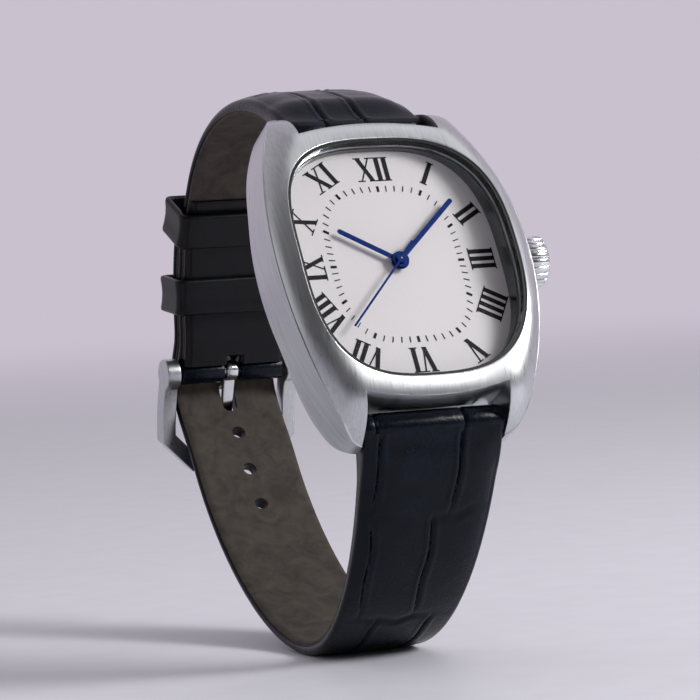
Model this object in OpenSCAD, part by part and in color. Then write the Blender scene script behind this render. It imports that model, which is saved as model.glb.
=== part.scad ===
// Wristwatch: cushion case on a leather strap that is buckled into a loop.
// Millimetres, +Z up, X towards the crown, Y from the dial towards the buckle.
// The origin is on the surface that the strap stands on, in the middle of its flat spot.

/* [Stance] */
// Angle that the dial leans back
dial_lean = 28.25; // [24:0.25:32]
// Height of the dial centre above the surface
dial_height = 52.6; // [50:0.1:56]
// How far the dial centre is in front of the flat spot
dial_forward = 20.5; // [18:0.5:23]

/* [Case] */
// Half width of the case across 3 to 9 o'clock
case_half_w = 18.1; // [17.6:0.1:19]
// Distance from the dial centre to the tip of a lug
lug_reach = 24.4; // [24:0.1:25.5]
// Radius of the bowed sides in plan
side_bow_r = 50; // [44:1:60]
// Height of the case rim over the dial at 3 and 9 o'clock
rim_h = 4.5; // [4.2:0.1:4.9]
// Height of the ridge between flank and top at 3 o'clock
ridge_h = 2.6; // [2.2:0.1:3]
// Radius of the arch that rim, ridge and crystal follow from 12 to 6 o'clock
ridge_fall_r = 75; // [68:1:90]
// Depth of the flank's lower edge under the dial
flank_depth = 5; // [4.9:0.1:5.4]
// How much lower the lugs reach than the flank
lug_drop = 2; // [1.5:0.1:2.4]
// Gap between the lugs
lug_gap = 20.2; // [19:0.1:20.6]
// Distance from the dial centre to the case end between the lugs
notch_v = 18.85; // [18.6:0.05:19.2]
// Radius of the bowed case end between the lugs
notch_bow_r = 40; // [35:1:60]

/* [Dial opening] */
// Half width of the opening in the case
opening_half_w = 15.4; // [15.2:0.1:15.6]
// Half height of the opening in the case
opening_half_h = 17.5; // [17.3:0.1:17.6]
// Squareness of the cushion outline
opening_power = 2.9; // [2.5:0.1:3.4]
// Thickness of the crystal
crystal_t = 1.2; // [1:0.1:1.4]
// Thickness of the gasket round the crystal
gasket_t = 0.35; // [0.25:0.05:0.5]
// Width of the ledge that carries the crystal
ledge_w = 0.5; // [0.45:0.05:0.7]
// Thickness of the ledge that carries the crystal
ledge_t = 0.5; // [0.4:0.05:0.7]
// Wall of the inner ring between dial and ledge
ring_t = 0.7; // [0.6:0.05:1.2]
// Thickness of the dial plate
dial_t = 0.4; // [0.3:0.05:0.5]

/* [Dial print] */
// Half width of the minute track
track_half_w = 9.13; // [8.6:0.05:9.6]
// Half height of the minute track
track_half_h = 11.15; // [10.6:0.05:11.6]
// Squareness of the minute track
track_power = 3.3; // [2.6:0.1:3.8]
// Length of a minute mark
mark_l = 0.85; // [0.7:0.05:1.1]
// Width of a thin minute mark
mark_w = 0.14; // [0.1:0.02:0.2]
// Width of a five-minute mark
mark_thick_w = 0.35; // [0.25:0.05:0.5]
// Height of the numerals
numeral_h = 3.6; // [3.4:0.1:4]
// Width of a thick stroke
stroke_w = 0.62; // [0.5:0.02:0.75]
// Width of a thin stroke
hair_w = 0.2; // [0.14:0.02:0.3]
// Thickness of the print
print_t = 0.05; // [0.03:0.01:0.08]

/* [Hands] */
// Clock angle of the hour hand
hour_angle = 302.6; // [0:0.1:360]
// Clock angle of the minute hand
minute_angle = 48.3; // [0:0.1:360]
// Clock angle of the second hand
second_angle = 223.9; // [0:0.1:360]
// Length of the hour hand
hour_l = 9.1; // [7:0.1:10]
// Length of the minute hand
minute_l = 12.7; // [11:0.1:13.2]
// Length of the second hand
second_l = 13.1; // [11:0.1:13.4]
// Length of the second hand's tail
second_tail = 3.2; // [2:0.1:4]
// Width of the hour and minute hands
hand_w = 0.68; // [0.5:0.02:0.9]
// Width of the second hand
second_w = 0.3; // [0.2:0.02:0.4]
// Thickness of each hand
hand_t = 0.15; // [0.1:0.01:0.18]

/* [Crown] */
// Radius of the crown
crown_r = 3.4; // [2.8:0.1:3.6]
// Thickness of the crown
crown_l = 3.2; // [2.8:0.1:3.8]
// Number of flutes on the crown
crown_flutes = 20; // [12:1:28]
// Radius of each flute
flute_r = 0.42; // [0.3:0.02:0.5]
// Depth of the stem's axis under the dial
stem_depth = 1.9; // [1.7:0.05:2.1]
// Radius of the stem
stem_r = 0.5; // [0.4:0.05:0.6]
// Gap between the crown and the flank
crown_gap = 0.3; // [0.2:0.05:0.5]
// How far the crown pulls out to set the time
crown_pull = 0.9; // [0.6:0.1:1.2]

/* [Case back] */
// Thickness of the case back's plate
back_t = 1.7; // [1.4:0.1:2]
// Half width of the case back
back_half_w = 16.1; // [15.9:0.1:16.3]
// Half height of the case back
back_half_h = 17.9; // [17.7:0.1:18.1]
// Half spacing of the case back's screws across the case
screw_u = 12.9; // [12.8:0.1:13.2]
// Half spacing of the case back's screws along the case
screw_v = 14.9; // [14.7:0.1:15.1]
// Radius of the screws' thread
screw_r = 0.6; // [0.5:0.05:0.7]

/* [Strap] */
// Width of the strap at the lugs
strap_w = 19.9; // [18:0.1:19.9]
// Width of the strap at the buckle
strap_tail_w = 16; // [15:0.1:16]
// How much narrower the strap gets for each millimetre of its length
strap_taper = 0.085; // [0.06:0.005:0.12]
// Thickness of the lining
lining_t = 0.7; // [0.5:0.05:0.9]
// Thickness of the whole strap at its edge, past the padding
strap_t = 1.9; // [1.7:0.05:2.1]
// How much the padding adds at the edge beside the lugs
pad_edge = 0.8; // [0.4:0.05:1]
// Height of the crown of the padding beside the lugs
pad_crown = 0.9; // [0.5:0.05:1.2]
// Length over which the padding runs out
pad_l = 34; // [26:1:40]
// Radius of the rolled strap ends at the lugs
roll_r = 2; // [1.9:0.05:2.1]
// Distance of the lug spring bars from the dial centre along the dial
bar_v = 21.8; // [21.6:0.05:21.9]
// Depth of the lug spring bars under the dial
bar_depth = 3.5; // [3.3:0.05:3.8]
// Radius of the spring bars' barrels
bar_r = 0.85; // [0.7:0.05:0.9]
// Radius of the spring bars' tips
tip_r = 0.4; // [0.35:0.05:0.45]
// Length of the tail past the buckle bar
tail_l = 24.5; // [22:0.5:26]
// Spacing of the strap holes
hole_pitch = 6.3; // [5.5:0.1:7]
// Radius of the strap holes
hole_r = 1; // [0.9:0.05:1.1]
// Number of holes on each side of the one in use
holes_beside = 3; // [1:1:4]

/* [Buckle] */
// Length of the buckle from its bar to its far end
buckle_l = 14.6; // [13.8:0.1:15]
// Width of the buckle's arms
arm_w = 2.1; // [1.8:0.05:2.3]
// Thickness of the buckle
buckle_t = 2.6; // [2.3:0.05:2.8]
// Radius of the buckle's arch
buckle_arch_r = 22; // [20:1:40]
// Width of the tang
tang_w = 1.7; // [1.4:0.05:1.8]
// Thickness of the tang
tang_t = 0.9; // [0.8:0.05:1]
// Radius of the rolled strap end at the buckle
buckle_roll_r = 1.7; // [1.65:0.05:1.8]

/* [Keepers] */
// Width of each keeper along the strap
keeper_w = 5.2; // [4.5:0.1:5.5]
// Thickness of the keepers' leather
keeper_t = 1.1; // [0.9:0.05:1.3]
// Distance of the fixed keeper from the buckle bar
fixed_keeper_s = 11.6; // [10.5:0.1:12.5]
// Distance of the free keeper from the buckle bar
free_keeper_s = 22.2; // [21.5:0.1:23.5]
// How far the free keeper slides each way
keeper_travel = 1.5; // [1:0.1:2]
// Slack inside the keepers over the tail
keeper_slack = 0.9; // [0.6:0.05:1.2]
// Length of the folded-back leather on the wrist side
foldback_l = 27; // [25:0.5:30]

/* [Hidden] */

// Clearances
fit_gap = 0.05;
seat_gap = 0.05;
snug_gap = 0.01;
cut_over = 1;

// Colours
steel = "#c9cbcd";
steel_polished = "#d8dadc";
brass = "#c8a85a";
blue = "#14307c";
black = "#14161b";
lining_grey = "#4a4540";

// Small helpers
function unit(p) = p / norm(p);
function smooth(x) = (1 + cos(180 * min(1, max(0, x)))) / 2;
function sum_to(list, k) = k < 0 ? 0 : list[k] + sum_to(list, k - 1);

// Cushion outline: a superellipse through count points
function cushion(half_w, half_h, power, count = 72) = [for (i = [0:count - 1])
  let (a = 360 * i / count, c = cos(a), s = sin(a))
  let (r = pow(pow(abs(c) / half_w, power) + pow(abs(s) / half_h, power), -1 / power))
  [r * c, r * s]];

// Distance from the centre to a cushion outline at an angle
function cushion_r(half_w, half_h, power, a) =
  pow(pow(abs(cos(a)) / half_w, power) + pow(abs(sin(a)) / half_h, power), -1 / power);

// Places a piece that is drawn with the dial in the XY plane
module on_dial() {
  translate([0, -dial_forward, dial_height]) rotate([90 - dial_lean, 0, 0]) children();
}

// Turns a hand so that it points at a clock angle
module at_clock(angle) {
  rotate([0, 0, -angle]) children();
}

// A cylinder along X, drawn from x0 to x1
module rod_x(r, x0, x1, fn = 48) {
  translate([x0, 0, 0]) rotate([0, 90, 0]) cylinder(r = r, h = x1 - x0, $fn = fn);
}

// A plate with a cushion outline between two heights
module cushion_plate(half_w, half_h, power, z0, z1) {
  translate([0, 0, z0]) linear_extrude(z1 - z0) polygon(cushion(half_w, half_h, power));
}

// A ring between two cushion outlines
module cushion_ring(half_w, half_h, wall, power, z0, z1) {
  difference() {
    cushion_plate(half_w, half_h, power, z0, z1);
    cushion_plate(half_w - wall, half_h - wall, power, z0 - cut_over, z1 + cut_over);
  }
}

// Triangles between rings of points, each ring a list of [x, y, z], closed round and capped at both ends
module loft(rings) {
  n = len(rings[0]);
  m = len(rings);
  points = [for (ring = rings) each ring];
  sides = [for (j = [0:m - 2], i = [0:n - 1])
    let (a = j * n + i, b = j * n + (i + 1) % n)
    each [[a, b + n, b], [a, a + n, b + n]]];
  first = [for (i = [1:n - 2]) [0, i, i + 1]];
  last = [for (i = [1:n - 2]) [(m - 1) * n, (m - 1) * n + i + 1, (m - 1) * n + i]];
  polyhedron(points = points, faces = concat(sides, first, last));
}

// Heights inside the head, all measured from the dial's face
arch_z = rim_h - ridge_fall_r;
crystal_under_r = ridge_fall_r - crystal_t;
ledge_top_r = crystal_under_r - seat_gap;
ledge_under_r = ledge_top_r - ledge_t;
cavity_grow = 0.1;
cavity_half_w = opening_half_w + cavity_grow;
cavity_half_h = opening_half_h + cavity_grow;
back_z = -flank_depth;
holder_z = -4.3;

// The space under the arch of a radius, and a prism with the opening's outline that ends at such an arch
module under_arch(r) {
  translate([0, 0, arch_z]) rod_x(r, -case_half_w * 2, case_half_w * 2, 360);
}
module arched_prism(half_w, half_h, r, z0 = 0) {
  intersection() {
    cushion_plate(half_w, half_h, opening_power, z0, rim_h + cut_over);
    under_arch(r);
  }
}
function rim_z(v) = arch_z + sqrt(pow(ridge_fall_r, 2) - v * v);

// The ridge between flank and top falls away towards the lugs as a circle does
function ridge_z(v) = ridge_h - ridge_fall_r + sqrt(pow(ridge_fall_r, 2) - v * v)
  - tip_fall * pow(max(0, abs(v) - tip_from) / (lug_reach - tip_from), 2);
tip_from = 21;
tip_fall = 2.2;

// The flank's lower edge dips under the lugs and rises again at their tips
function under_z(v) = back_z - lug_drop * (1 - smooth((abs(v) - dip_from) / (dip_to - dip_from)))
  + tip_rise * pow(max(0, abs(v) - tip_from) / (lug_reach - tip_from), 2);
dip_from = 8;
dip_to = 20;
tip_rise = 1.4;

// Distance from the centre to the case outline in plan, with softened corners at the lug tips
side_c = side_bow_r - case_half_w;
corner_power = 26;
function plan_side(a) = -side_c * abs(cos(a)) + sqrt(pow(side_bow_r, 2) - pow(side_c * sin(a), 2));
function plan_end(a) = lug_reach / max(0.01, abs(sin(a)));
function plan_r(a) = pow(pow(plan_side(a), -corner_power) + pow(plan_end(a), -corner_power), -1 / corner_power);

// Angles round the case, closer together at the lug tips
quarter = [0, 6, 12, 18, 24, 30, 36, 42, 47, 51, 54.5, 57, 59, 60.5, 62, 63.2, 64.4, 65.8, 68, 71, 76, 83];
angles = concat(quarter, [90], [for (i = [len(quarter) - 1:-1:1]) 180 - quarter[i]],
  [for (a = quarter) 180 + a], [270], [for (i = [len(quarter) - 1:-1:1]) 360 - quarter[i]]);
bezel_steps = 6;
bezel_straight_side = 0.55;
bezel_straight_end = 0.3;

// The bezel leaves the rim straight at first, less so at the ends, and bends down towards the ridge
function bezel_ring(k) = [for (a = angles)
  let (s = k / bezel_steps, r0 = cushion_r(opening_half_w, opening_half_h, opening_power, a))
  let (r1 = plan_r(a), r = r0 + (r1 - r0) * s, z0 = rim_z(r0 * sin(a)))
  let (straight = bezel_straight_side + (bezel_straight_end - bezel_straight_side) * pow(sin(a), 2))
  [r * cos(a), r * sin(a), z0 + (ridge_z(r1 * sin(a)) - z0) * (straight * s + (1 - straight) * pow(s, 3))]];
function flank_ring(inset, z) = [for (a = angles)
  let (r1 = plan_r(a))
  [(r1 - inset) * cos(a), (r1 - inset) * sin(a), under_z(r1 * sin(a)) + z]];
function floor_ring() = [for (a = angles)
  let (r0 = cushion_r(back_half_w + back_rim, back_half_h + back_rim, back_power, a))
  [r0 * cos(a), r0 * sin(a), back_z]];

flank_edge = 0.3;
back_power = 5;
back_rim = 0.25;

module case_form() {
  rings = concat([for (k = [0:bezel_steps]) bezel_ring(k)],
    [flank_ring(0, flank_edge), flank_ring(flank_edge, 0), floor_ring()]);
  loft([for (i = [len(rings) - 1:-1:0]) rings[i]]);
}

// The space between two lugs, whose inner end is bowed
notch_corner_r = sqrt(pow(notch_bow_r, 2) - pow(lug_gap / 2, 2));
module lug_space() {
  difference() {
    translate([-lug_gap / 2, notch_v - cut_over, -flank_depth * 3])
      cube([lug_gap, lug_reach, flank_depth * 5]);
    translate([0, notch_v - notch_corner_r, -flank_depth * 3 - cut_over])
      cylinder(r = notch_bow_r, h = flank_depth * 5 + 2 * cut_over, $fn = 180);
  }
}

tube_r = 1.4;
tube_out = 0.9;
tip_hole_depth = 0.9;
roll_clear = 0.2;

module case_body() color(steel) on_dial() difference() {
  case_form();
  difference() {
    cushion_plate(opening_half_w, opening_half_h, opening_power, 0, rim_h + cut_over);
    under_arch(ledge_top_r);
  }
  cushion_plate(opening_half_w - ledge_w, opening_half_h - ledge_w, opening_power, 0, rim_h + cut_over);
  arched_prism(cavity_half_w, cavity_half_h, ledge_under_r, back_z - cut_over);
  for (side = [0, 1]) mirror([0, side, 0]) {
    lug_space();
    translate([0, bar_v, -bar_depth]) rod_x(roll_r + roll_clear, -lug_gap / 2, lug_gap / 2);
    translate([0, bar_v, -bar_depth])
      rod_x(tip_r + fit_gap, -lug_gap / 2 - tip_hole_depth, lug_gap / 2 + tip_hole_depth);
  }
  translate([0, 0, -stem_depth]) rod_x(tube_r + snug_gap, cavity_half_w - cut_over, case_half_w + cut_over);
  for (u = [-screw_u, screw_u], v = [-screw_v, screw_v])
    translate([u, v, back_z - cut_over]) cylinder(r = screw_r + fit_gap, h = screw_l + cut_over, $fn = 32);
}
screw_l = 2.2;

module crystal() color("#dfe8ee", 0.4) on_dial() {
  wall = gasket_t + snug_gap;
  chamfer = 0.2;
  difference() {
    union() {
      arched_prism(opening_half_w - wall, opening_half_h - wall, ridge_fall_r - chamfer);
      arched_prism(opening_half_w - wall - chamfer, opening_half_h - wall - chamfer, ridge_fall_r);
    }
    under_arch(crystal_under_r);
  }
}

gasket_low = 0.15;
module crystal_gasket() color("#1b1c1e") on_dial() difference() {
  arched_prism(opening_half_w - snug_gap, opening_half_h - snug_gap, ridge_fall_r - gasket_low);
  cushion_plate(opening_half_w - gasket_t, opening_half_h - gasket_t, opening_power, -cut_over, rim_h + cut_over);
  under_arch(crystal_under_r);
}

ring_in_w = cavity_half_w - fit_gap - ring_t;
ring_in_h = cavity_half_h - fit_gap - ring_t;
// The ring lines the cavity from the dial up to the ledge under the crystal
module inner_ring() color("#9b9da0") on_dial() difference() {
  arched_prism(cavity_half_w - fit_gap, cavity_half_h - fit_gap, ledge_under_r - snug_gap);
  cushion_plate(ring_in_w, ring_in_h, opening_power, -cut_over, rim_h + cut_over);
}

module dial() color("#dedadb") on_dial() difference() {
  cushion_plate(cavity_half_w - fit_gap, cavity_half_h - fit_gap, opening_power, -dial_t, 0);
  translate([0, 0, -dial_t - cut_over]) cylinder(r = hour_pipe_r + 0.15, h = dial_t + 2 * cut_over, $fn = 48);
}

// Numerals: letters drawn upright round their own centre
serif_h = 0.16;
serif_over = 0.42;
letter_gap = 0.04;
function letter_w(c) = c == "I" ? stroke_w + serif_over : c == "V" ? 2.4 : 2.7;
function word_w(word, k) = k < 0 ? 0 : letter_w(word[k]) + word_w(word, k - 1);

module slanted(x0, x1, w) {
  h = numeral_h / 2;
  polygon([[x0 - w / 2, h], [x0 + w / 2, h], [x1 + w / 2, -h], [x1 - w / 2, -h]]);
}
module serif(x, top, w) {
  translate([x, top * (numeral_h - serif_h) / 2]) square([w + serif_over, serif_h], center = true);
}
module letter(c) {
  if (c == "I") {
    square([stroke_w, numeral_h], center = true);
    serif(0, 1, stroke_w);
    serif(0, -1, stroke_w);
  } else {
    reach = (letter_w(c) - stroke_w - serif_over) / 2;
    foot = c == "V" ? hair_w : reach;
    slanted(-reach, foot, stroke_w);
    slanted(reach, c == "V" ? hair_w : -reach, hair_w);
    serif(-reach, 1, stroke_w);
    serif(reach, 1, stroke_w);
    if (c == "X") {
      serif(-reach, -1, stroke_w);
      serif(reach, -1, stroke_w);
    }
  }
}
module word(text_of) {
  n = len(text_of);
  total = word_w(text_of, n - 1) + letter_gap * (n - 1);
  for (k = [0:n - 1])
    translate([-total / 2 + word_w(text_of, k - 1) + letter_w(text_of[k]) / 2 + letter_gap * k, 0])
      letter(text_of[k]);
}
roman = ["XII", "I", "II", "III", "IIII", "V", "VI", "VII", "VIII", "IX", "X", "XI"];
numeral_gap = 3;

// The numerals stop just short of the ring that stands round the dial
module dial_numerals() color("#16181d") on_dial() linear_extrude(print_t) intersection() {
  polygon(cushion(ring_in_w - fit_gap, ring_in_h - fit_gap, opening_power));
  for (k = [0:11])
    let (a = 90 - 30 * k, r = cushion_r(track_half_w + numeral_gap, track_half_h + numeral_gap, track_power, a))
      translate([r * cos(a), r * sin(a)]) rotate(a - 90) word(roman[k]);
}

module minute_track() color("#16181d") on_dial() linear_extrude(print_t)
  for (k = [0:59])
    let (a = 90 - 6 * k, r = cushion_r(track_half_w, track_half_h, track_power, a))
      rotate(a) translate([r, 0]) square([mark_l, k % 5 == 0 ? mark_thick_w : mark_w], center = true);

// Hands and their arbors, stacked over the dial
hour_z = 0.75;
minute_z = 1.1;
second_z = 1.45;
second_r = 0.12;
pinion_r = 0.45;
hour_pipe_r = 0.75;
hub_r = 1.25;

module baton(l, w, tail, hub, bore, z) {
  translate([0, 0, z]) difference() {
    union() {
      cylinder(r = hub, h = hand_t, $fn = 48);
      translate([-w / 2, -tail, 0]) cube([w, l + tail - w / 2, hand_t]);
      translate([0, l - w / 2, 0]) cylinder(r = w / 2, h = hand_t, $fn = 24);
    }
    translate([0, 0, -cut_over]) cylinder(r = bore, h = hand_t + 2 * cut_over, $fn = 32);
  }
}

module hour_hand() color(blue) on_dial() at_clock(hour_angle)
  baton(hour_l, hand_w, 0, hub_r, hour_pipe_r, hour_z);

module minute_hand() color(blue) on_dial() at_clock(minute_angle)
  baton(minute_l, hand_w, 0, hub_r - 0.1, pinion_r, minute_z);

module second_hand() color(blue) on_dial() at_clock(second_angle) {
  baton(second_l, second_w, second_tail, 0.7, second_r, second_z);
  tail_w = 0.62;
  translate([-tail_w / 2, -second_tail, second_z]) cube([tail_w, second_tail - 0.6, hand_t]);
}

wheel_z = -0.95;
wheel_t = 0.25;
arbor_gap = 0.04;

module hour_wheel() color(brass) on_dial() difference() {
  union() {
    translate([0, 0, wheel_z]) cylinder(r = hour_pipe_r, h = hour_z + hand_t - wheel_z, $fn = 48);
    translate([0, 0, wheel_z]) cylinder(r = 2.6, h = wheel_t, $fn = 64);
  }
  translate([0, 0, wheel_z - cut_over])
    cylinder(r = pinion_r + arbor_gap, h = hour_z + hand_t - wheel_z + 2 * cut_over, $fn = 48);
}

module cannon_pinion() color(brass) on_dial() difference() {
  union() {
    translate([0, 0, wheel_z]) cylinder(r = pinion_r, h = minute_z + hand_t - wheel_z, $fn = 48);
    translate([0, 0, wheel_z - arbor_gap - wheel_t]) cylinder(r = 1.1, h = wheel_t, $fn = 48);
    translate([0, 0, wheel_z - arbor_gap]) cylinder(r = pinion_r, h = arbor_gap, $fn = 48);
  }
  translate([0, 0, wheel_z - wheel_t - cut_over])
    cylinder(r = second_r + arbor_gap, h = minute_z + hand_t - wheel_z + wheel_t + 2 * cut_over, $fn = 32);
}

second_foot_z = -3.1;
module second_arbor() color(steel_polished) on_dial() {
  translate([0, 0, second_foot_z]) cylinder(r = second_r, h = second_z + hand_t - second_foot_z, $fn = 32);
  translate([0, 0, second_foot_z + 0.1]) cylinder(r = 2.4, h = 0.2, $fn = 64);
}

// Movement: a round quartz movement in a plastic holder
movement_r = 11.6;
plate_z = -2.6;
plate_top = -dial_t;
battery_r = 3.4;
battery_pos = [-5.6, -5.2];
battery_z = -4.3;
battery_h = 2.6;
coil_pos = [-3.2, 6.6];
rotor_pos = [4.6, 4.4];
stem_in = 3.2;

module movement_holder() color("#e8e6e0") on_dial() difference() {
  cushion_plate(cavity_half_w - fit_gap, cavity_half_h - fit_gap, opening_power, holder_z, -dial_t);
  translate([0, 0, holder_z - cut_over])
    cylinder(r = movement_r + fit_gap, h = -holder_z + cut_over, $fn = 96);
  translate([0, 0, -stem_depth]) rod_x(stem_r + 0.35, movement_r - 2, cavity_half_w + cut_over);
}

module main_plate() color(brass) on_dial() difference() {
  translate([0, 0, plate_z]) cylinder(r = movement_r, h = plate_top - plate_z, $fn = 96);
  translate([0, 0, plate_z - cut_over]) cylinder(r = 1.3, h = plate_top - plate_z + 2 * cut_over, $fn = 48);
  translate([0, 0, wheel_z - 0.1]) cylinder(r = 2.8, h = plate_top - wheel_z + cut_over, $fn = 64);
  translate([battery_pos[0], battery_pos[1], battery_z])
    cylinder(r = battery_r + fit_gap, h = battery_h + fit_gap, $fn = 64);
  translate([0, 0, -stem_depth]) rod_x(stem_r + fit_gap, stem_in - 0.3, movement_r + cut_over);
  translate([rotor_pos[0], rotor_pos[1], plate_z - cut_over]) cylinder(r = 0.9, h = cut_over + 0.5, $fn = 32);
  lever_slot();
}

// The slot where the setting lever moves with the stem
lever_x = 8.2;
lever_w = 0.9;
lever_l = 3.4;
module lever_slot() {
  translate([lever_x - fit_gap * 2, -1.1, plate_z - cut_over])
    cube([lever_w + crown_pull + fit_gap * 4, lever_l + 0.4, cut_over - plate_z - stem_depth + stem_r + 0.3]);
}

module setting_lever() color(steel_polished) on_dial() difference() {
  translate([lever_x, -0.9, plate_z + fit_gap])
    cube([lever_w, lever_l - 0.2, -stem_depth - plate_z + stem_r + 0.1]);
  translate([0, 0, -stem_depth]) rod_x(stem_r + fit_gap, lever_x - cut_over, lever_x + lever_w + cut_over);
}

module train_cover() color("#b9bcc0") on_dial() difference() {
  translate([0, 0, holder_z + 0.3]) linear_extrude(0.5) difference() {
    circle(r = movement_r - 0.3, $fn = 96);
    translate(battery_pos) circle(r = battery_r + 0.5, $fn = 64);
    translate(coil_pos) square([9.4, 3.6], center = true);
  }
}

cover_pillars = [[9.2, 4.6], [9.2, -4.6], [-10.1, 2.2], [1.5, -10]];
module circuit_board() color("#2f6b3f") on_dial() {
  translate([0, 0, holder_z + 0.8]) linear_extrude(0.35) difference() {
    circle(r = movement_r - 0.6, $fn = 96);
    translate(battery_pos) circle(r = battery_r + 0.5, $fn = 64);
    translate(coil_pos) square([9.4, 3.6], center = true);
    translate(rotor_pos) circle(r = 1.2, $fn = 32);
    circle(r = 2.7, $fn = 48);
  }
  for (p = cover_pillars) translate([p[0], p[1], holder_z + 1.15]) cylinder(r = 0.6, h = plate_z - holder_z - 1.15, $fn = 24);
}

module coil() color("#b5653a") on_dial() translate([coil_pos[0], coil_pos[1], plate_z - 0.9]) {
  rod_x(0.85, -3.2, 3.2);
  rod_x(0.35, -4.3, 4.3);
  for (x = [-4.3, 3.5]) translate([x, -1, -0.3]) cube([0.8, 2, 1.2]);
}

module stator() color(steel) on_dial() difference() {
  translate([rotor_pos[0] - 2.6, rotor_pos[1] - 1.4, plate_z - 0.45]) cube([5.2, 2.8, 0.45]);
  translate([rotor_pos[0], rotor_pos[1], plate_z - cut_over]) cylinder(r = 0.9, h = 2 * cut_over, $fn = 32);
}

module rotor() color("#8d8f92") on_dial() translate([rotor_pos[0], rotor_pos[1], 0]) {
  translate([0, 0, plate_z - 0.55]) cylinder(r = 0.7, h = 0.6, $fn = 32);
  translate([0, 0, plate_z - 0.55]) cylinder(r = 0.15, h = 0.95, $fn = 16);
}

module battery() color(steel_polished) on_dial()
  translate([battery_pos[0], battery_pos[1], battery_z]) cylinder(r = battery_r, h = battery_h, $fn = 64);

module battery_clamp() color(steel_polished) on_dial() {
  translate([battery_pos[0] - 3.9, battery_pos[1] - 0.8, battery_z - 0.2]) cube([7.8, 1.6, 0.18]);
}

// Stem, crown and what seals them
crown_x = case_half_w + crown_gap;
crown_bore_r = tube_r - 0.35;
module stem() color(steel_polished) on_dial() translate([0, 0, -stem_depth])
  rod_x(stem_r, stem_in, crown_x + crown_l - 1.2);

module crown_tube() color(steel) on_dial() translate([0, 0, -stem_depth]) difference() {
  rod_x(tube_r, cavity_half_w + 0.1, case_half_w + tube_out);
  rod_x(stem_r + 0.12, cavity_half_w - cut_over, case_half_w + tube_out + cut_over);
}

module crown_gasket() color("#1b1c1e") on_dial() translate([0, 0, -stem_depth]) difference() {
  rod_x(stem_r + 0.55, case_half_w + tube_out + 0.25, case_half_w + tube_out + 0.55);
  rod_x(stem_r, case_half_w, case_half_w + tube_out + cut_over);
}

crown_well = tube_out - crown_gap + 0.6;
module crown() color(steel_polished) on_dial() translate([0, 0, -stem_depth]) difference() {
  translate([crown_x, 0, 0]) rotate([0, 90, 0]) rotate_extrude($fn = 96)
    polygon([[0, 0], [crown_r - 0.35, 0], [crown_r, 0.4], [crown_r, crown_l - 0.6], [crown_r - 0.5, crown_l - 0.12],
      [crown_r - 1.1, crown_l], [0, crown_l]]);
  for (k = [0:crown_flutes - 1]) rotate([360 * k / crown_flutes, 0, 0])
    translate([crown_x - cut_over, crown_r + flute_r * 0.25, 0]) rotate([0, 90, 0])
      cylinder(r = flute_r, h = crown_l + 2 * cut_over, $fn = 24);
  rod_x(tube_r + fit_gap, crown_x - cut_over, crown_x + crown_well);
  rod_x(stem_r, crown_x, crown_x + crown_l - 1.2);
}

// Case back, gasket and screws
back_plug = 0.7;
module case_back() color(steel) on_dial() difference() {
  union() {
    cushion_plate(back_half_w, back_half_h, back_power, back_z - back_t, back_z);
    cushion_plate(cavity_half_w - 0.1, cavity_half_h - 0.1, opening_power, back_z, back_z + back_plug - 0.35);
  }
  cushion_plate(cavity_half_w - 1.6, cavity_half_h - 1.6, opening_power, back_z - 0.3, back_z + cut_over);
  for (u = [-screw_u, screw_u], v = [-screw_v, screw_v]) translate([u, v, 0]) {
    translate([0, 0, back_z - back_t - cut_over]) cylinder(r = screw_r + 0.1, h = back_t + 2 * cut_over, $fn = 32);
    translate([0, 0, back_z - back_t - cut_over]) cylinder(r = screw_r * 2 + 0.1, h = cut_over + 0.55, $fn = 32);
  }
}

module case_back_gasket() color("#1b1c1e") on_dial()
  cushion_ring(cavity_half_w - 0.1, cavity_half_h - 0.1, 0.8, opening_power, back_z + back_plug - 0.35, holder_z);

module case_back_screws() color(steel_polished) on_dial()
  for (u = [-screw_u, screw_u], v = [-screw_v, screw_v]) translate([u, v, 0]) difference() {
    union() {
      translate([0, 0, back_z - back_t + 0.05]) cylinder(r = screw_r * 2, h = 0.5, $fn = 32);
      translate([0, 0, back_z - back_t + 0.5]) cylinder(r = screw_r, h = back_t - 0.5 + screw_l - 0.2, $fn = 32);
    }
    translate([-0.15, -screw_r * 2 - cut_over, back_z - back_t - cut_over])
      cube([0.3, screw_r * 4 + 2 * cut_over, cut_over + 0.25]);
  }

// Strap: places in the YZ plane, seen from the crown's side
function head_yz(v, n) = [-dial_forward + v * sin(dial_lean) - n * cos(dial_lean),
  dial_height + v * cos(dial_lean) + n * sin(dial_lean)];
upper_bar = head_yz(bar_v, -bar_depth);
lower_bar = head_yz(-bar_v, -bar_depth);
buckle_bar = [41.8, 37.4];
loop_top = [10.5, 74.5];
loop_back = [40.1, 44];
loop_foot = [0.3, 1];
buckle_entry = [37.6, 24.2];

function bezier(p0, p1, p2, p3, steps) = [for (i = [0:steps - 1])
  let (t = i / steps, u = 1 - t)
  u * u * u * p0 + 3 * u * u * t * p1 + 3 * u * t * t * p2 + t * t * t * p3];
function toward(angle, l) = l * [cos(angle), sin(angle)];

// Directions in which the strap leaves and meets its bars, and how far each bend holds its direction
upper_leave = 24;
upper_leave_l = 6;
top_in_l = 7;
top_out_l = 19;
back_in_l = 18;
back_out_l = 2.2;
upper_end = -70;
upper_path = concat(
  bezier(upper_bar, upper_bar + toward(upper_leave, upper_leave_l), loop_top - [top_in_l, 0], loop_top, 9),
  bezier(loop_top, loop_top + [top_out_l, 0], loop_back + [0, back_in_l], loop_back, 18),
  bezier(loop_back, loop_back - [0, back_out_l], buckle_bar - toward(upper_end, back_out_l), buckle_bar, 4),
  [buckle_bar]);

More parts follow.
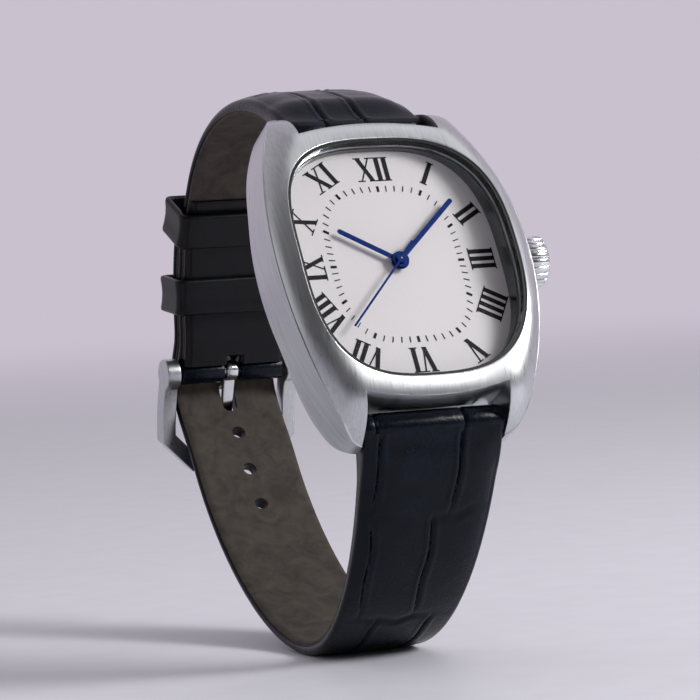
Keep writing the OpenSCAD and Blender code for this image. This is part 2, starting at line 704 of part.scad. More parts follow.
function tangents(path) = [for (i = [0:len(path) - 1])
  unit(path[min(i + 1, len(path) - 1)] - path[max(i - 1, 0)])];
function lengths(path) = [for (i = 0, s = 0; i < len(path);
  s = s + (i + 1 < len(path) ? norm(path[i + 1] - path[i]) : 0), i = i + 1) s];
upper_t = tangents(upper_path);
upper_s = lengths(upper_path);
upper_l = upper_s[len(upper_s) - 1];

// Offsets across the strap from its path: inner face, glue line and outer face
inner_t = 0.9;
edge_crown = 0.15;
pad_rise_l = 6;
roll_run = 8;
flat_t = strap_t - inner_t;
function pad_at(s) = smooth(s / pad_l) * (1 - smooth(s / pad_rise_l));
function roll_at(s) = smooth(s / roll_run);
function inner_off(s) = inner_t + (roll_r - inner_t) * roll_at(s);
function edge_off(s) = flat_t + (roll_r - flat_t) * roll_at(s) + pad_edge * pad_at(s);
function crown_off(s) = pad_crown * pad_at(s) + edge_crown * (1 - roll_at(s));
function width_at(s) = max(strap_tail_w, strap_w - strap_taper * s);

// The tail lies on the outside of the upper strap, a small gap away
layer_gap = 0.12;
bar_bump = buckle_roll_r + 0.1 - flat_t - edge_crown;
bump_run = 5;
function upper_outer(s) = flat_t + edge_crown + bar_bump * smooth((upper_l - s) / bump_run);
tail_points = [for (i = [len(upper_path) - 1:-1:0]) if (upper_l - upper_s[i] <= tail_l)
  upper_path[i] + (upper_outer(upper_s[i]) + layer_gap + inner_t) * [-upper_t[i][1], upper_t[i][0]]];
tail_start = tail_points[0];
tail_dir = unit(tail_points[1] - tail_points[0]);

lower_leave = -76;
lower_leave_l = 14;
foot_in_l = 16;
foot_out_l = 14;
entry_angle = 58.7;
entry_in_l = 14;
entry_out_l = 5;
lower_path = concat(
  bezier(lower_bar, lower_bar + toward(lower_leave, lower_leave_l), loop_foot - [foot_in_l, 0], loop_foot, 16),
  bezier(loop_foot, loop_foot + [foot_out_l, 0], buckle_entry - toward(entry_angle, entry_in_l), buckle_entry, 16),
  bezier(buckle_entry, buckle_entry + toward(entry_angle, entry_out_l), tail_start - entry_out_l * tail_dir,
    tail_start, 8),
  tail_points);
lower_t = tangents(lower_path);
lower_s = lengths(lower_path);
lower_l = lower_s[len(lower_s) - 1];

// Width of the lower strap, drawn in to a blunt point at the tail's end
tip_l = 7;
function lower_width(s) = width_at(s) * (s < lower_l - tip_l ? 1
  : sqrt(max(0.04, 1 - pow((s - lower_l + tip_l) / (tip_l * 1.06), 2.4))));

// One ring of points across the strap. Points under the surface are pressed flat onto it.
function across(p, t, side, sections) = [for (q = sections)
  let (n = side * [-t[1], t[0]], y = p[0] + q[1] * n[0], z = p[1] + q[1] * n[1])
  [q[0], y, max(0, z)]];
function leather_section(w, glue, edge, crown) = [[w / 2, glue], [-w / 2, glue], [-w / 2, edge],
  [-w * 0.44, edge + crown * 0.55], [-w * 0.32, edge + crown * 0.88], [0, edge + crown],
  [w * 0.32, edge + crown * 0.88], [w * 0.44, edge + crown * 0.55], [w / 2, edge]];
function lining_section(w, inner, glue) = [[w / 2, inner], [-w / 2, inner], [-w / 2, glue], [w / 2, glue]];

module upper_band(lining) {
  loft([for (i = [0:len(upper_path) - 1]) let (s = upper_s[i], glue = lining_t - inner_off(s))
    across(upper_path[i], upper_t[i], 1, lining
      ? lining_section(width_at(s), -inner_off(s), glue)
      : leather_section(width_at(s), glue, max(edge_off(s), upper_outer(s) - edge_crown), crown_off(s)))]);
}

module lower_band(lining) {
  rings = [for (i = [0:len(lower_path) - 1]) let (s = lower_s[i], glue = lining_t - inner_off(s))
    across(lower_path[i], lower_t[i], -1, lining
      ? lining_section(lower_width(s), -inner_off(s), glue)
      : leather_section(lower_width(s), glue, edge_off(s), crown_off(s)))];
  loft([for (i = [len(rings) - 1:-1:0]) rings[i]]);
}

// Index of the first point of a path at or past a length
function index_at(s_list, s, i = 0) = i >= len(s_list) - 1 || s_list[i] >= s ? i : index_at(s_list, s, i + 1);
function point_at(path, s_list, s) = let (i = max(1, index_at(s_list, s)),
  f = (s - s_list[i - 1]) / (s_list[i] - s_list[i - 1])) path[i - 1] + f * (path[i] - path[i - 1]);
function angle_at(path, s_list, s) = let (i = max(1, index_at(s_list, s)), d = path[i] - path[i - 1])
  atan2(d[1], d[0]);

// Places a piece on a path: local X along the strap's width, Y outwards and Z along the path
module on_path(path, s_list, s, side) {
  p = point_at(path, s_list, s);
  a = angle_at(path, s_list, s);
  translate([0, p[0], p[1]]) rotate([a - 90, 0, 0]) rotate([0, 0, side > 0 ? 180 : 0]) children();
}

// Buckle: an arched frame, its bar at its own origin and its far end along -Z
arm_in = strap_tail_w / 2 + 0.35;
arm_out = arm_in + arm_w;
buckle_tilt = 10;
far_bar_w = 2.1;
arch_mid = -buckle_l / 2;
arch_drop = sqrt(pow(buckle_arch_r, 2) - pow(buckle_l / 2, 2));
function arch_at(z) = sqrt(pow(buckle_arch_r, 2) - pow(z - arch_mid, 2)) - arch_drop;

// The tang's blade runs from its ring to where it rests on the frame's far end
tang_root = [-0.1, -1];
tang_rest = [arch_at(far_bar_w - buckle_l) + buckle_t / 2 + fit_gap, far_bar_w - buckle_l];
tang_slope = (tang_rest[0] - tang_root[0]) / (tang_rest[1] - tang_root[1]);
function tang_under(z) = tang_root[0] + tang_slope * (z - tang_root[1]);

// Length along the lower strap at which the tang passes through it
function buckle_local(p) = let (d = p - buckle_bar)
  [d[0] * cos(buckle_tilt) + d[1] * sin(buckle_tilt), d[1] * cos(buckle_tilt) - d[0] * sin(buckle_tilt)];
function beyond_tang(p) = let (q = buckle_local(p)) q[0] - tang_under(q[1]) - tang_t / 2;
function crossing(i) = i >= len(lower_path) - 1 || beyond_tang(lower_path[i]) > 0 ? i : crossing(i + 1);
cross_i = crossing(index_at(lower_s, lower_l / 2));
cross_a = beyond_tang(lower_path[cross_i - 1]);
cross_b = beyond_tang(lower_path[cross_i]);
used_hole_s = lower_s[cross_i - 1] + (lower_s[cross_i] - lower_s[cross_i - 1]) * cross_a / (cross_a - cross_b);

roll_gap = 0.05;
bar_slot_w = 2.5;
bar_slot_top = 0.5;
bar_slot_depth = 2.3;

module strap_upper() color(black) difference() {
  union() {
    upper_band(false);
    translate([0, upper_bar[0], upper_bar[1]]) rod_x(roll_r, -strap_w / 2, strap_w / 2);
    translate([0, buckle_bar[0], buckle_bar[1]]) rod_x(buckle_roll_r, -strap_tail_w / 2, strap_tail_w / 2);
  }
  translate([0, upper_bar[0], upper_bar[1]]) rod_x(bar_r + roll_gap, -strap_w, strap_w);
  translate([0, buckle_bar[0], buckle_bar[1]]) rod_x(bar_r + roll_gap, -strap_w, strap_w);
  tang_slot();
}

module tang_slot() {
  reach = buckle_roll_r + bar_slot_depth;
  translate([-bar_slot_w / 2, buckle_bar[0] - reach, buckle_bar[1] - reach])
    cube([bar_slot_w, 2 * reach, reach + buckle_roll_r + bar_slot_top]);
}

module strap_upper_lining() color(lining_grey) difference() {
  upper_band(true);
  translate([0, upper_bar[0], upper_bar[1]]) rod_x(roll_r, -strap_w, strap_w);
  translate([0, buckle_bar[0], buckle_bar[1]]) rod_x(buckle_roll_r, -strap_w, strap_w);
  tang_slot();
}

module strap_foldback() color(black) difference() {
  loft([for (i = [0:len(upper_path) - 1]) let (s = upper_s[i])
    if (s > upper_l - foldback_l) across(upper_path[i], upper_t[i], 1,
      lining_section(strap_tail_w - 0.6, -inner_off(s) - foldback_t, -inner_off(s)))]);
  translate([0, buckle_bar[0], buckle_bar[1]]) rod_x(buckle_roll_r, -strap_w, strap_w);
  tang_slot();
}
foldback_t = 0.8;

// Holes along the lower strap: the one in use is opened lengthways by the tang
module strap_holes() {
  for (k = [-holes_beside:holes_beside])
    on_path(lower_path, lower_s, used_hole_s - k * hole_pitch, -1)
      if (k == 0) {
        for (z = [-1.3, 1.3]) translate([0, 4, z]) rotate([90, 0, 0]) cylinder(r = 1.2, h = 8, $fn = 32);
        translate([-1.2, -4, -1.3]) cube([2.4, 8, 2.6]);
      } else {
        translate([0, 4, 0]) rotate([90, 0, 0]) cylinder(r = hole_r, h = 8, $fn = 32);
      }
}

module strap_lower() color(black) difference() {
  union() {
    lower_band(false);
    translate([0, lower_bar[0], lower_bar[1]]) rod_x(roll_r, -strap_w / 2, strap_w / 2);
  }
  translate([0, lower_bar[0], lower_bar[1]]) rod_x(bar_r + roll_gap, -strap_w, strap_w);
  strap_holes();
}

module strap_lower_lining() color(lining_grey) difference() {
  lower_band(true);
  translate([0, lower_bar[0], lower_bar[1]]) rod_x(roll_r, -strap_w, strap_w);
  strap_holes();
}

// A spring bar along X: a barrel and a tip at each end
module spring_bar(half_l, tip_l) {
  rod_x(bar_r, -half_l, half_l);
  rod_x(tip_r, -half_l - tip_l, half_l + tip_l);
}

module lug_spring_bars() color(steel_polished) {
  for (bar = [upper_bar, lower_bar]) translate([0, bar[0], bar[1]])
    spring_bar(lug_gap / 2 - 0.15, tip_hole_depth);
}

module buckle_spring_bar() color(steel_polished)
  translate([0, buckle_bar[0], buckle_bar[1]]) spring_bar(arm_in - 0.15, 1.2);

// Puts a piece in the buckle's place, tilted outwards about the bar
module on_buckle() translate([0, buckle_bar[0], buckle_bar[1]]) rotate([buckle_tilt, 0, 0]) children();

corner_cut = 4.3;
arm_top = 2.2;
module buckle_plan() difference() {
  polygon([[-arm_out, 0], [arm_out, 0], [arm_out, -buckle_l + corner_cut], [arm_out - corner_cut, -buckle_l],
    [-arm_out + corner_cut, -buckle_l], [-arm_out, -buckle_l + corner_cut]]);
  inner_cut = corner_cut - 1;
  polygon([[-arm_in, cut_over], [arm_in, cut_over], [arm_in, -buckle_l + far_bar_w + inner_cut],
    [arm_in - inner_cut, -buckle_l + far_bar_w], [-arm_in + inner_cut, -buckle_l + far_bar_w],
    [-arm_in, -buckle_l + far_bar_w + inner_cut]]);
}

module buckle_frame() color(steel) on_buckle() difference() {
  union() {
    intersection() {
      translate([0, buckle_t * 2, 0]) rotate([90, 0, 0]) linear_extrude(buckle_t * 4) buckle_plan();
      translate([0, -arch_drop, arch_mid]) difference() {
        rod_x(buckle_arch_r + buckle_t / 2, -arm_out, arm_out, 180);
        rod_x(buckle_arch_r - buckle_t / 2, -arm_out - cut_over, arm_out + cut_over, 180);
      }
    }
    for (x = [-arm_out, arm_in]) rod_x(arm_top, x, x + arm_w);
  }
  rod_x(tip_r + fit_gap, -arm_out + 0.5, arm_out - 0.5);
}

// Tang: a ring on the bar and a tapered blade through the strap to the far end
tang_ring_r = 1.45;
tang_over = 0.4;
module buckle_tang() color(steel_polished) on_buckle() difference() {
  union() {
    rod_x(tang_ring_r, -tang_w / 2, tang_w / 2);
    rotate([90, 0, 90]) translate([0, 0, -tang_w / 2]) linear_extrude(tang_w)
      polygon([tang_root, [tang_root[0] + tang_t, tang_root[1]],
        [tang_under(-buckle_l) + tang_t, -buckle_l], [tang_under(-buckle_l) + tang_t / 2, -buckle_l - tang_over],
        [tang_under(-buckle_l), -buckle_l]]);
  }
  rod_x(bar_r + fit_gap, -tang_w, tang_w);
}

// Keepers: a band of leather round both layers of the strap, as wide as the strap where they lie
keeper_side_gap = 0.3;
function keeper_in_w(s) = width_at(s - keeper_w / 2) / 2 + keeper_side_gap;
keeper_low = inner_t + foldback_t + 0.3;
keeper_high = upper_outer(0) + layer_gap + strap_t + 0.15 + keeper_slack;
module rounded_rect(w0, w1, h0, h1, r) {
  translate([w0 + r, h0]) square([w1 - w0 - 2 * r, h1 - h0]);
  translate([w0, h0 + r]) square([w1 - w0, h1 - h0 - 2 * r]);
  for (x = [w0 + r, w1 - r], y = [h0 + r, h1 - r]) translate([x, y]) circle(r = r, $fn = 32);
}
module keeper(in_w) {
  translate([0, 0, -keeper_w / 2]) linear_extrude(keeper_w) difference() {
    rounded_rect(-in_w - keeper_t, in_w + keeper_t, -keeper_low - keeper_t, keeper_high + keeper_t, 1.5);
    rounded_rect(-in_w, in_w, -keeper_low, keeper_high, 0.5);
  }
}

module fixed_keeper() color(black) on_path(upper_path, upper_s, upper_l - fixed_keeper_s, 1)
  keeper(keeper_in_w(upper_l - fixed_keeper_s));
module free_keeper() color(black) on_path(upper_path, upper_s, upper_l - free_keeper_s, 1)
  keeper(keeper_in_w(upper_l - free_keeper_s - keeper_travel));

case_body();
crystal();
crystal_gasket();
inner_ring();
dial();
dial_numerals();
minute_track();
hour_hand();
hour_wheel();
minute_hand();
cannon_pinion();
second_hand();
second_arbor();
movement_holder();
main_plate();
train_cover();
coil();
stator();
rotor();
circuit_board();
battery();
battery_clamp();
setting_lever();
stem();
crown();
crown_gasket();
crown_tube();
case_back();
case_back_gasket();
case_back_screws();
lug_spring_bars();
buckle_spring_bar();
strap_upper();
strap_upper_lining();
strap_lower();
strap_lower_lining();
strap_foldback();
fixed_keeper();
free_keeper();
buckle_frame();
buckle_tang();
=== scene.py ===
import math
import bmesh
import bpy
import numpy as np
from mathutils import Matrix, Vector


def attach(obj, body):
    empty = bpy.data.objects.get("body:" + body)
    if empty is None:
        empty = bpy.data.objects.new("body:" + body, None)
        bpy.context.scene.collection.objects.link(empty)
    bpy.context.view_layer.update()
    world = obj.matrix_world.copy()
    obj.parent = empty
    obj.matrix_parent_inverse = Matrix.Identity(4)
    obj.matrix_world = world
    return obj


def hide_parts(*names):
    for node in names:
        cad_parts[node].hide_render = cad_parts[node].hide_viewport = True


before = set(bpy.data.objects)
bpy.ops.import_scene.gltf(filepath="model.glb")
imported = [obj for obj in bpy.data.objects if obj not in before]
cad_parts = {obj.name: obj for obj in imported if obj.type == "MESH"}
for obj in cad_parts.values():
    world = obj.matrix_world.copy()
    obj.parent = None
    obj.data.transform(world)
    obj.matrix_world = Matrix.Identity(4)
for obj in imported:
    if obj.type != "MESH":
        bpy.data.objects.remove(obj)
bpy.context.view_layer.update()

# Lengths below are millimetres in the part's own frame; Blender gets metres
mm = 0.001

# Where the head sits: the dial's centre and how far it leans back
head = {"centre": (0.0, -20.5, 52.6), "lean": math.radians(28.25)}
acrossDial = np.array([1.0, 0.0, 0.0])
alongDial = np.array([0.0, math.sin(head["lean"]), math.cos(head["lean"])])
outOfDial = np.array([0.0, -math.cos(head["lean"]), math.sin(head["lean"])])


def toHead(points):
    # u towards 3 o'clock, v towards 12 o'clock, n out of the dial
    p = np.asarray(points, float)
    return (np.array(head["centre"]) + p[..., :1] * acrossDial
            + p[..., 1:2] * alongDial + p[..., 2:3] * outOfDial)


# Colours and materials

def hexColour(code):
    srgb = [int(code[i:i + 2], 16) / 255 for i in (1, 3, 5)]
    return [c / 12.92 if c <= 0.04045 else ((c + 0.055) / 1.055) ** 2.4 for c in srgb] + [1.0]


def addNode(tree, kind, links=None, **settings):
    # Adds one node, sets its properties or sockets, and links sockets to outputs of other nodes
    node = tree.nodes.new(kind)
    for key, value in settings.items():
        if hasattr(node, key):
            setattr(node, key, value)
        else:
            node.inputs[key.replace("_", " ")].default_value = value
    for socket, output in (links or {}).items():
        tree.links.new(output, node.inputs[socket])
    return node


def newMaterial(name):
    material = bpy.data.materials.new(name)
    material.use_nodes = True
    tree = material.node_tree
    return material, tree, tree.nodes["Principled BSDF"]


def setShader(shader, **values):
    for key, value in values.items():
        shader.inputs[key.replace("_", " ")].default_value = value


def followPattern(tree, shader, pattern, colours, ends, roughness, height, strength, depth):
    # Colour and roughness follow one pattern, and a fine relief of the given depth in mm follows the height
    ramp = addNode(tree, "ShaderNodeValToRGB", {"Fac": pattern})
    for element, end, colour in zip(ramp.color_ramp.elements, ends, colours):
        element.position = end
        element.color = hexColour(colour)
    rough = addNode(tree, "ShaderNodeMapRange", {"Value": pattern}, To_Min=roughness[0], To_Max=roughness[1])
    relief = addNode(tree, "ShaderNodeBump", {"Height": height}, Strength=strength, Distance=depth * mm)
    tree.links.new(ramp.outputs["Color"], shader.inputs["Base Color"])
    tree.links.new(rough.outputs["Result"], shader.inputs["Roughness"])
    tree.links.new(relief.outputs["Normal"], shader.inputs["Normal"])


def grainMaterial(name, colour, darker, metallic, roughness, grain, stretch=(1, 1, 1), lean=0.0,
                  bump=0.1, bumpDepth=0.02, roughSpread=0.06, detail=3.0, followsWalls=False, **shaderValues):
    # A finish with one grain: grain is its size in mm, stretched along the surface's own direction
    material, tree, shader = newMaterial(name)
    place = addNode(tree, "ShaderNodeTexCoord")
    turned = addNode(tree, "ShaderNodeMapping", {"Vector": place.outputs["Object"]})
    turned.inputs["Rotation"].default_value = (lean, 0, 0)
    sized = addNode(tree, "ShaderNodeVectorMath", {0: turned.outputs["Vector"]}, operation="MULTIPLY")
    sized.inputs[1].default_value = [1 / (grain * mm * s) for s in stretch]
    if followsWalls:
        # On the upright flank the strokes follow the wall: there the pattern no longer varies across the dial
        facing = addNode(tree, "ShaderNodeMapping", {"Vector": place.outputs["Normal"]}, vector_type="NORMAL")
        facing.inputs["Rotation"].default_value = (lean, 0, 0)
        upward = addNode(tree, "ShaderNodeSeparateXYZ", {"Vector": facing.outputs["Vector"]})
        size = addNode(tree, "ShaderNodeMath", {0: upward.outputs["Z"]}, operation="ABSOLUTE")
        share = addNode(tree, "ShaderNodeMapRange", {"Value": size.outputs["Value"]}, From_Min=0.15,
                        From_Max=0.45)
        shares = addNode(tree, "ShaderNodeCombineXYZ", {"X": share.outputs["Result"]}, Y=1.0, Z=1.0)
        sized = addNode(tree, "ShaderNodeVectorMath",
                        {0: sized.outputs["Vector"], 1: shares.outputs["Vector"]}, operation="MULTIPLY")
    noise = addNode(tree, "ShaderNodeTexNoise", {"Vector": sized.outputs["Vector"]}, Scale=1.0, Detail=detail,
                    Roughness=0.6)
    grains = noise.outputs["Fac"]
    followPattern(tree, shader, grains, (darker, colour), (0.32, 0.68),
                  (roughness - roughSpread, roughness + roughSpread), grains, bump, bumpDepth)
    setShader(shader, Metallic=metallic, **shaderValues)
    return material


def leatherMaterial(name, colour, darker, roughness, pebble, crease, bump, coat):
    # Corrected leather: fine pebbles from the embossing plate over slow creases from wear, both in mm
    material, tree, shader = newMaterial(name)
    place = addNode(tree, "ShaderNodeTexCoord")
    pebbles = addNode(tree, "ShaderNodeTexVoronoi", {"Vector": place.outputs["Object"]},
                      Scale=1 / (pebble * mm), feature="SMOOTH_F1", Smoothness=0.6)
    creases = addNode(tree, "ShaderNodeTexNoise", {"Vector": place.outputs["Object"]},
                      Scale=1 / (crease * mm), Detail=5.0, Roughness=0.62, Distortion=0.6)
    height = addNode(tree, "ShaderNodeMath", {0: pebbles.outputs["Distance"], 2: creases.outputs["Fac"]},
                     operation="MULTIPLY_ADD")
    height.inputs[1].default_value = 0.45
    followPattern(tree, shader, creases.outputs["Fac"], (darker, colour), (0.35, 0.7),
                  (roughness - 0.08, roughness + 0.1), height.outputs["Value"], bump, 0.06)
    setShader(shader, Specular_IOR_Level=0.16, Coat_Weight=coat, Coat_Roughness=0.2)
    return material


def crystalMaterial(name):
    # Thin mineral glass with an anti-reflective coating: light passes straight on, and the low IOR keeps
    # what it mirrors as faint as the coating does
    material, tree, shader = newMaterial(name)
    tree.nodes.remove(shader)
    clear = addNode(tree, "ShaderNodeBsdfTransparent", Color=(1, 1, 1, 1))
    mirror = addNode(tree, "ShaderNodeBsdfGlossy", Roughness=0.03)
    share = addNode(tree, "ShaderNodeFresnel", IOR=1.04)
    mix = addNode(tree, "ShaderNodeMixShader", {0: share.outputs[0], 1: clear.outputs["BSDF"],
                                                2: mirror.outputs["BSDF"]})
    tree.links.new(mix.outputs["Shader"], tree.nodes["Material Output"].inputs["Surface"])
    return material


# Turns Object coordinates so that Z runs out of the dial
headTurn = head["lean"] - math.radians(90)
# Satin-brushed 316L: short strokes along the case, which draw highlights out across them
brushedSteel = grainMaterial("brushedStainlessSteel", "#CACCCE", "#BDBFC2", 1.0, 0.3, 0.2, (1, 40, 3),
                             headTurn, bump=0.2, bumpDepth=0.01, detail=1.0, followsWalls=True)
# Polished 316L: crisp reflections with a faint haze from handling
polishedSteel = grainMaterial("polishedStainlessSteel", "#DEDFE1", "#D2D4D6", 1.0, 0.17, 1.5, bump=0.03,
                              roughSpread=0.04)
# The ring inside the glass: turned steel with a base darker than the case's steel, which partly paints in the
# shade and dim reflections on its wall
shadeDarkenedRingSteel = grainMaterial("turnedSteelRing", "#85898B", "#74787A", 1.0, 0.3, 0.12, (1, 1, 12), headTurn,
                          bump=0.12)
# Nitrile seal: matt black
sealRubber = grainMaterial("nitrileRubber", "#17181A", "#101113", 0.0, 0.6, 0.3, bump=0.2)
# Dial: silvery white lacquer over brass, with a fine satin tooth
dialLacquer = grainMaterial("dialLacquer", "#E6E2E3", "#DFDBDC", 0.0, 0.42, 0.09, bump=0.06, bumpDepth=0.01,
                            Coat_Weight=0.25, Coat_Roughness=0.2)
# Pad-printed ink: nearly black with a blue cast
padInk = grainMaterial("padPrintInk", "#0A0B10", "#07080C", 0.0, 0.55, 0.1, bump=0.1, Specular_IOR_Level=0.2)
# Blued hands: lacquered deep blue metal
bluedSteel = grainMaterial("bluedSteel", "#02307E", "#02225E", 0.1, 0.3, 0.4, bump=0.04,
                           Specular_IOR_Level=0.15)
# Movement parts, seen only when the watch is open
nickelledBrass = grainMaterial("rolledBrass", "#C9A55B", "#B5924B", 1.0, 0.3, 0.2, (1, 20, 1), headTurn)
movementSteel = grainMaterial("stampedNickelSteel", "#C2C4C6", "#AEB0B3", 1.0, 0.28, 0.25, (1, 12, 1),
                              headTurn)
holderPlastic = grainMaterial("mouldedAcetal", "#E7E4DC", "#DDD9D0", 0.0, 0.45, 0.3, bump=0.15)
copperWinding = grainMaterial("enamelledCopper", "#B8663C", "#8F4A28", 0.9, 0.3, 0.08, (12, 1, 1))
boardLaminate = grainMaterial("glassEpoxyBoard", "#2F6B3F", "#275A35", 0.0, 0.4, 0.35, bump=0.2)
# Crocodile-embossed calf: semi-gloss black with a blue cast
blackLeather = leatherMaterial("embossedCalfLeather", "#05101F", "#02060E", roughness=0.25, pebble=0.4,
                               crease=3.5, bump=0.8, coat=0.02)
# Keepers and edges: smooth calf, edges painted in layers
smoothLeather = leatherMaterial("smoothCalfLeather", "#101218", "#0A0B0F", roughness=0.34, pebble=0.8,
                                crease=4.0, bump=0.18, coat=0.1)
# Lining: unfinished split leather, brown-grey and creased across by wear
liningLeather = leatherMaterial("splitLiningLeather", "#544D46", "#3C3732", roughness=0.66, pebble=0.35,
                                crease=2.6, bump=0.6, coat=0.0)
mineralGlass = crystalMaterial("mineralGlass")
print("materials made")


# Mesh helpers

def editMesh(mesh, change):
    bm = bmesh.new()
    bm.from_mesh(mesh)
    change(bm)
    bm.to_mesh(mesh)
    bm.free()


def meshPiece(name, points, faces, sharp=35):
    mesh = bpy.data.meshes.new(name)
    mesh.from_pydata((np.asarray(points, float) * mm).tolist(), [], faces)
    mesh.update()
    piece = bpy.data.objects.new(name, mesh)
    bpy.context.scene.collection.objects.link(piece)
    smoothOver(mesh, sharp)
    return piece


def smoothOver(mesh, sharp):
    # Smooth shading, except over edges that turn by more than sharp degrees
    def shade(bm):
        for face in bm.faces:
            face.smooth = True
        for edge in bm.edges:
            edge.smooth = len(edge.link_faces) == 2 and edge.calc_face_angle(0) < math.radians(sharp)

    editMesh(mesh, shade)


def gridFaces(rings, count, closed=False):
    # Quads between rings of count points; closed joins the last ring to the first, else both ends get caps
    faces = []
    for j in range(rings if closed else rings - 1):
        a, b = j * count, (j + 1) % rings * count
        faces += [(a + i, a + (i + 1) % count, b + (i + 1) % count, b + i) for i in range(count)]
    if not closed:
        faces.append(tuple(reversed(range(count))))
        faces.append(tuple(range((rings - 1) * count, rings * count)))
    return faces


def dress(piece, body, material, node):
    # Gives a piece its finish, the body that carries it and the CAD node that it stands for
    piece.data.materials.clear()
    piece.data.materials.append(material)
    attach(piece, body)
    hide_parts(node)


def applyModifiers(piece):
    graph = bpy.context.evaluated_depsgraph_get()
    mesh = bpy.data.meshes.new_from_object(piece.evaluated_get(graph))
    piece.modifiers.clear()
    old = piece.data
    piece.data = mesh
    bpy.data.meshes.remove(old)
    mesh.name = piece.name


edgeBreak = {"segments": 3, "fromAngle": 30, "weld": 0.0005, "flatAngle": 0.5}


def bevelledCopy(node, name, width):
    # A CAD node's shape with its edges broken by a small round, as tumbling or polishing leaves them
    def joinFlats(bm):
        flat = math.radians(edgeBreak["flatAngle"])
        bmesh.ops.remove_doubles(bm, verts=bm.verts, dist=edgeBreak["weld"] * mm)
        bmesh.ops.dissolve_limit(bm, angle_limit=flat, verts=bm.verts, edges=bm.edges)

    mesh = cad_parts[node].data.copy()
    mesh.name = name
    editMesh(mesh, joinFlats)
    # Smooth all over; the weights below keep flat faces flat
    smoothOver(mesh, sharp=180)
    piece = bpy.data.objects.new(name, mesh)
    bpy.context.scene.collection.objects.link(piece)
    bevel = piece.modifiers.new("edges", "BEVEL")
    bevel.width = width * mm
    bevel.segments = edgeBreak["segments"]
    bevel.limit_method = "ANGLE"
    bevel.angle_limit = math.radians(edgeBreak["fromAngle"])
    bevel.use_clamp_overlap = True
    weighted = piece.modifiers.new("shading", "WEIGHTED_NORMAL")
    weighted.keep_sharp = True
    applyModifiers(piece)
    return piece


# Case: the cushion of the middle case with its four lugs

case = {"halfWidth": 18.1, "lugReach": 24.4, "sideBow": 50.0, "cornerPower": 26.0, "archRadius": 75.0,
        "rim": 4.5, "ridge": 2.6, "depth": 5.0, "openingWidth": 15.4, "openingHeight": 17.5,
        "openingPower": 2.9, "ledge": 0.5, "ledgeTop": 1.25, "ledgeUnder": 1.75, "cavityGrow": 0.1,
        "straightSide": 0.55, "straightEnd": 0.12, "rimRound": 0.1, "ridgeRound": 0.18, "ridgeLift": 0.25,
        "underRound": 0.3, "underBreak": 0.1, "edgeBreak": 0.14, "breakAngle": 50, "weld": 0.002}
backOutline = {"halfWidth": 16.35, "halfHeight": 18.15, "power": 5.0}
lugs = {"gap": 20.2, "notch": 18.85, "notchBow": 40.0, "drop": 2.0, "dropFrom": 8.0, "dropRun": 12.0,
        "tipFrom": 21.0, "tipFall": 2.2, "tipRise": 1.4, "barAt": 21.8, "barHeight": -3.5, "rollSpace": 2.2,
        "barHole": 0.45, "barHoleDepth": 0.9}
# The cutters reach past the metal that they remove
cuts = {"outwards": 30.0, "below": -12.0, "above": 8.0, "tubeHeight": -1.9, "tubeRadius": 1.41,
        "tubeFrom": 13.0, "tubeTo": 25.0}


def cushionRadius(a, halfWidth, halfHeight, power):
    return ((np.abs(np.cos(a)) / halfWidth) ** power
            + (np.abs(np.sin(a)) / halfHeight) ** power) ** (-1 / power)


def caseRadius(a):
    sideCentre = case["sideBow"] - case["halfWidth"]
    side = -sideCentre * np.abs(np.cos(a)) + np.sqrt(case["sideBow"] ** 2 - (sideCentre * np.sin(a)) ** 2)
    end = case["lugReach"] / np.maximum(0.01, np.abs(np.sin(a)))
    power = case["cornerPower"]
    return (side ** -power + end ** -power) ** (-1 / power)


def easeOff(x):
    # From 1 down to 0 while x goes from 0 to 1, flat at both ends
    return (1 + np.cos(np.pi * np.clip(x, 0, 1))) / 2


def tipShare(v):
    # How far along a lug's tip a place is: 0 where the tip starts, 1 at its end
    return np.maximum(0, np.abs(v) - lugs["tipFrom"]) / (case["lugReach"] - lugs["tipFrom"])


def archHeight(v, below):
    # Rim, ledge and ridge follow one arch from 12 to 6 o'clock; below is the depth under the rim
    return case["rim"] - case["archRadius"] + np.sqrt((case["archRadius"] - below) ** 2 - v * v)


def ridgeHeight(v):
    return archHeight(v, 0) - case["rim"] + case["ridge"] - lugs["tipFall"] * tipShare(v) ** 2


def underHeight(v):
    # The flank's lower edge: the lugs reach lower than the back, and their tips come up again
    drop = 1 - easeOff((np.abs(v) - lugs["dropFrom"]) / lugs["dropRun"])
    return -case["depth"] - lugs["drop"] * drop + lugs["tipRise"] * tipShare(v) ** 2


